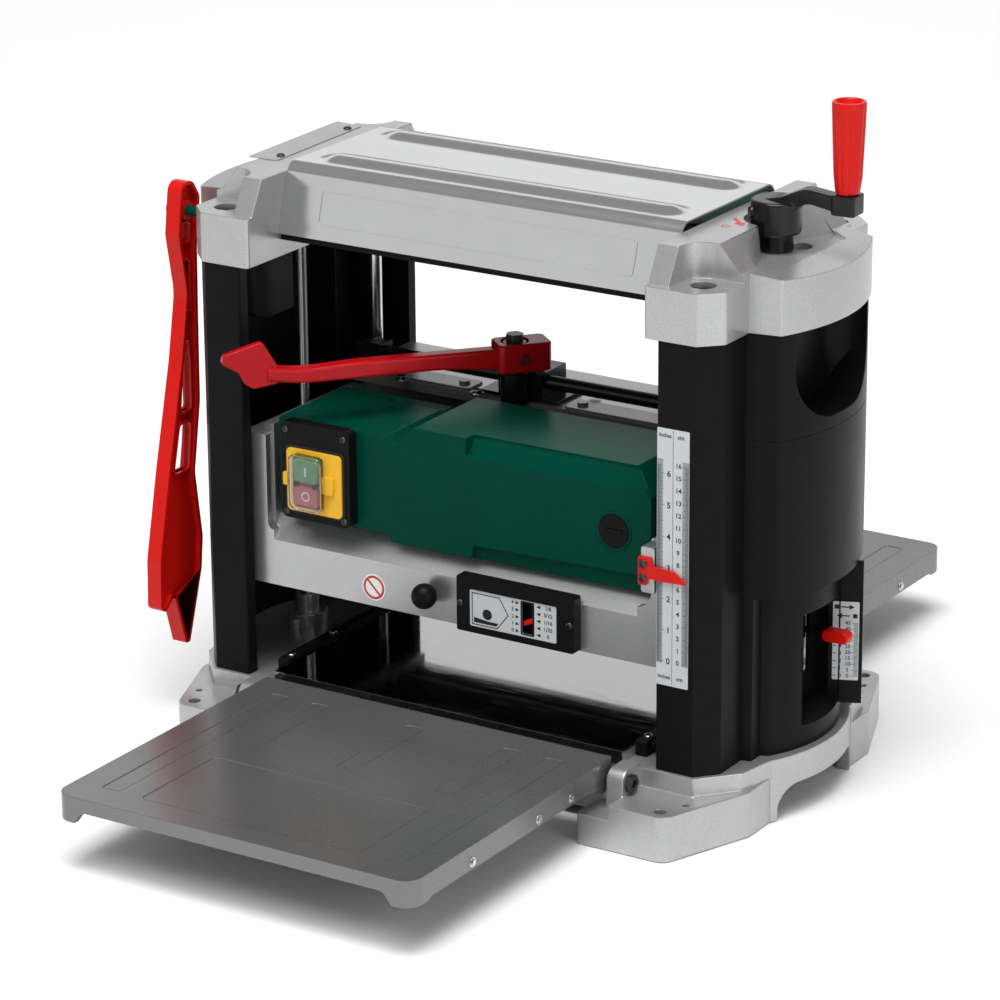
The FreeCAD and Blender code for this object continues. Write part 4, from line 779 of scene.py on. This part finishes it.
def make_gauge_plate():
    """Printed plate of the cut gauge: a cutter over a board, and the amounts of cut."""
    low = GAUGE_FACE + 0.2
    window = round_rect(69, 79, 140, 166, 1)
    bm = bmesh.new()
    slab(bm, FRONT, round_rect(20.2, 100.8, 137.2, 167.8, 1.5), GAUGE_FACE - 0.05, low,
         [window])
    piece("gauge_plate", bm, "label", "carriage")
    bm = bmesh.new()
    outline = [(22, 138.6), (46, 138.6), (56.5, 152), (48, 165.6), (22, 165.6)]
    slab(bm, FRONT, outline, low, low + 0.06, [offset(outline, -0.8)])
    slab(bm, FRONT, [(24, 140.6), (45, 140.6), (47, 143.4), (37, 143.4), (24, 145)],
         low, low + 0.06)
    slab(bm, FRONT, circle(36.5, 149, 4.4), low, low + 0.06)
    slab(bm, FRONT, round_rect(67.6, 80.4, 138.6, 167.2, 1.4), low, low + 0.06, [window])
    for k in range(5):
        b = 141 + 5.9 * k
        slab(bm, FRONT, [(63, b - 1.5), (66.4, b), (63, b + 1.5)], low, low + 0.06)
        slab(bm, FRONT, [(82, b), (86, b - 1.5), (86, b + 1.5)], low, low + 0.06)
        lettering(bm, FRONT, str(k), 60.2, b, 4.4, low + 0.05)
        lettering(bm, FRONT, ("0", "1/32", "1/16", "3/32", "1/8")[k], 93, b, 4.6, low + 0.05)
    piece("gauge_marks", bm, "ink", "carriage")


def make_prints():
    """Generic marks: a crossed ring on the carriage bar, key symbols, and the lift arrow."""
    a, b = -78.3, 147
    bm = bmesh.new()
    slab(bm, FRONT, circle(a, b, 11.2, 48), BAR_FACE - 0.02, BAR_FACE + 0.15)
    piece("ring_mark_ground", bm, "white", "carriage")
    bm = bmesh.new()
    slab(bm, FRONT, circle(a, b, 10, 48), BAR_FACE + 0.15, BAR_FACE + 0.22,
         [circle(a, b, 8, 48)])
    slant = flat((a, 0, b), (1, 0, -1), (1, 0, 1))
    slab(bm, slant, [(-8.2, -0.9), (8.2, -0.9), (8.2, 0.9), (-8.2, 0.9)],
         BAR_FACE + 0.15, BAR_FACE + 0.23)
    piece("ring_mark", bm, "print_red", "carriage")
    bm = bmesh.new()
    slab(bm, FRONT, round_rect(-134, -132.5, 235.5, 243.5, 0.5), KEY_FACE - 0.05, KEY_FACE + 0.2)
    piece("start_symbol", bm, "white", "start")
    bm = bmesh.new()
    slab(bm, FRONT, circle(-133.2, 218.8, 4.2), KEY_FACE - 0.05, KEY_FACE + 0.2,
         [circle(-133.2, 218.8, 2.8)])
    piece("stop_symbol", bm, "white", "stop")
    bm = bmesh.new()
    shaft = flat((196.7, -16.9, 0), (17, -16.6, 0), (16.6, 17, 0))
    slab(bm, shaft, [(0, -1.6), (14, -1.6), (14, -5), (23.6, 0), (14, 5), (14, 1.6), (0, 1.6)],
         CAP_TOP - 0.05, CAP_TOP + 0.12)
    slab(bm, TOP, circle(202.2, -40.3, 3.6), CAP_TOP - 0.05, CAP_TOP + 0.12,
         [circle(202.2, -40.3, 2.6)])
    piece("lift_arrow", bm, "print_red", "frame")


def make_left_cap_panel():
    """Inset panel on the left cap, held by two screws."""
    bm = bmesh.new()
    slab(bm, TOP, rounded([(-234, -54.5, 2), (-206, -53.6, 2), (-211, 76, 2), (-238, 79, 2)]),
         CAP_TOP - 0.1, CAP_TOP + 0.7)
    piece("left_cap_panel", bm, "carriage", "frame", None, 0.3)
    bm = bmesh.new()
    for a, b in ((-212, -40), (-216, 62)):
        socket_screw(bm, TOP, a, b, CAP_TOP + 0.6, 3.4, 1.6)
    piece("left_cap_screws", bm, "dark", "frame", None, 0.15)


def make_switch():
    """Yellow plate with its latches, two keys, sealing rim and the clear domed flap."""
    plate = round_rect(-153.5, -100.5, 204, 257, 4)
    bm = bmesh.new()
    slab(bm, FRONT, round_rect(-155.8, -98.2, 201.7, 259.3, 5), 121.9, 123.2, [plate])
    piece("switch_seal", bm, "rubber", "carriage", None, 0.25)
    bm = bmesh.new()
    slab(bm, FRONT, plate, 122, 124.5, [round_rect(-147.5, -119, 208, 253, 3)])
    slab(bm, FRONT, round_rect(-156.5, -152, 225, 236, 1.2), 122, 126)
    slab(bm, FRONT, round_rect(-119.2, -107.5, 223, 238, 2), 124.3, 126.6)
    piece("switch_faceplate", bm, "yellow", "carriage", "switch_plate", 0.4)
    for name, slot, low, high in (("start", "green_button", 230, 249.5),
                                  ("stop", "red_button", 210.5, 227.5)):
        bm = bmesh.new()
        slab(bm, FRONT, round_rect(-145, -121.8, low, high, 3), 118, KEY_FACE)
        piece(name + "_key", bm, name, name, name + "_button", 1.0, 3)
    outer = round_rect(-148, -116, 207, 254, 6)
    inner = offset(outer, -1.2)
    bm = bmesh.new()
    rings = [[bm.verts.new(FRONT @ Vector((a, b, height))) for a, b in loop]
             for loop, height in ((inner, 129.6), (inner, 125.2), (outer, 125.2), (outer, 130.8))]
    bm.faces.new(rings[0])
    bm.faces.new(rings[-1])
    for low, high in zip(rings, rings[1:]):
        for k in range(len(low)):
            bm.faces.new((low[k - 1], low[k], high[k], high[k - 1]))
    piece("flap_dome", bm, "clear", "flap", "switch_flap", 1.3, 3)
    bm = bmesh.new()
    for a in (-141, -123):
        lathe(bm, FRONT, a, 229, [(0, 125), (2.2, 125), (2.2, 130.9), (0, 130.9)], 20)
    piece("flap_rivets", bm, "dark", "flap", None, 0.3)


def make_lock_lever():
    """Enamelled lever: clamp block with a sunk top, bowed arm and an upright paddle."""
    heading = math.radians(LEVER_HEADING)
    along = Vector((math.cos(heading), math.sin(heading), 0))
    across = Vector((-along.y, along.x, 0))
    edge = flat((*LEVER_AXIS, 0), along, (0, 0, 1))
    above = flat((*LEVER_AXIS, 0), along, across)
    bm = bmesh.new()
    block = round_rect(-28, 17, -14, 14, 5)
    slab(bm, above, block, 306, 330, [circle(0, 0, 11, 40)])
    slab(bm, above, circle(0, 0, 11.4, 40), 308, 327, [circle(0, 0, 6.05, 40)])
    piece("lever_block", bm, "enamel", "lever", "lock_lever", 1.6, 4, False)
    bm = bmesh.new()
    arm = rounded([(10, 307.5), (64, 312.6, 260), (180, 312.6, 120), (208, 317.5), (208, 328.3),
                   (176, 324.6, 120), (132, 326.6, 260), (10, 325.5)], 8)
    slab(bm, edge, arm, -7, 7)
    piece("lever_arm", bm, "enamel", "lever", None, 2.6, 4, False)
    bm = bmesh.new()
    paddle = rounded([(198, 314, 3), (219, 311.2, 4), (226, 316, 3), (230, 325, 4),
                      (244.6, 334, 4), (243, 341, 4), (211, 350, 4), (199, 329, 3)])
    slab(bm, edge, paddle, -3.5, 3.5)
    piece("lever_paddle", bm, "enamel", "lever", None, 1.2, 3, False)


def make_depth_knob():
    """Red knob of the depth stop on its black stem."""
    low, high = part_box("depth_stop_lever")
    z = (low.z + high.z) * 500
    bm = bmesh.new()
    slab(bm, FRONT, round_rect(262, 285.5, z - 5, z + 5, 4.6), -24.5, -13.5)
    piece("depth_stop_knob", bm, "red", "depth_stop", "depth_stop_lever", 1.6, 3)
    bm = bmesh.new()
    slab(bm, FRONT, round_rect(233.5, 264, z - 2, z + 2, 1.5), -21, -17)
    slab(bm, FRONT, round_rect(233.2, 242.6, z - 9.8, z + 9.8, 1.5), -24.8, -13.2)
    piece("depth_stop_stem", bm, "plastic", "depth_stop", None, 0.4)


make_camera()
make_studio()
SURFACES = make_surfaces()
for key, nodes in NODE_SURFACE.items():
    for node in nodes:
        finish_node(node, SURFACES[key])
make_top_cover()
make_cover_sticker()
make_push_stick()
make_crank_grip()
make_lead_screws()
make_carriage_hardware()
make_housing_grille()
make_table_screws()
make_height_scale()
make_depth_scale()
make_gauge_plate()
make_prints()
make_left_cap_panel()
make_switch()
make_lock_lever()
make_depth_knob()
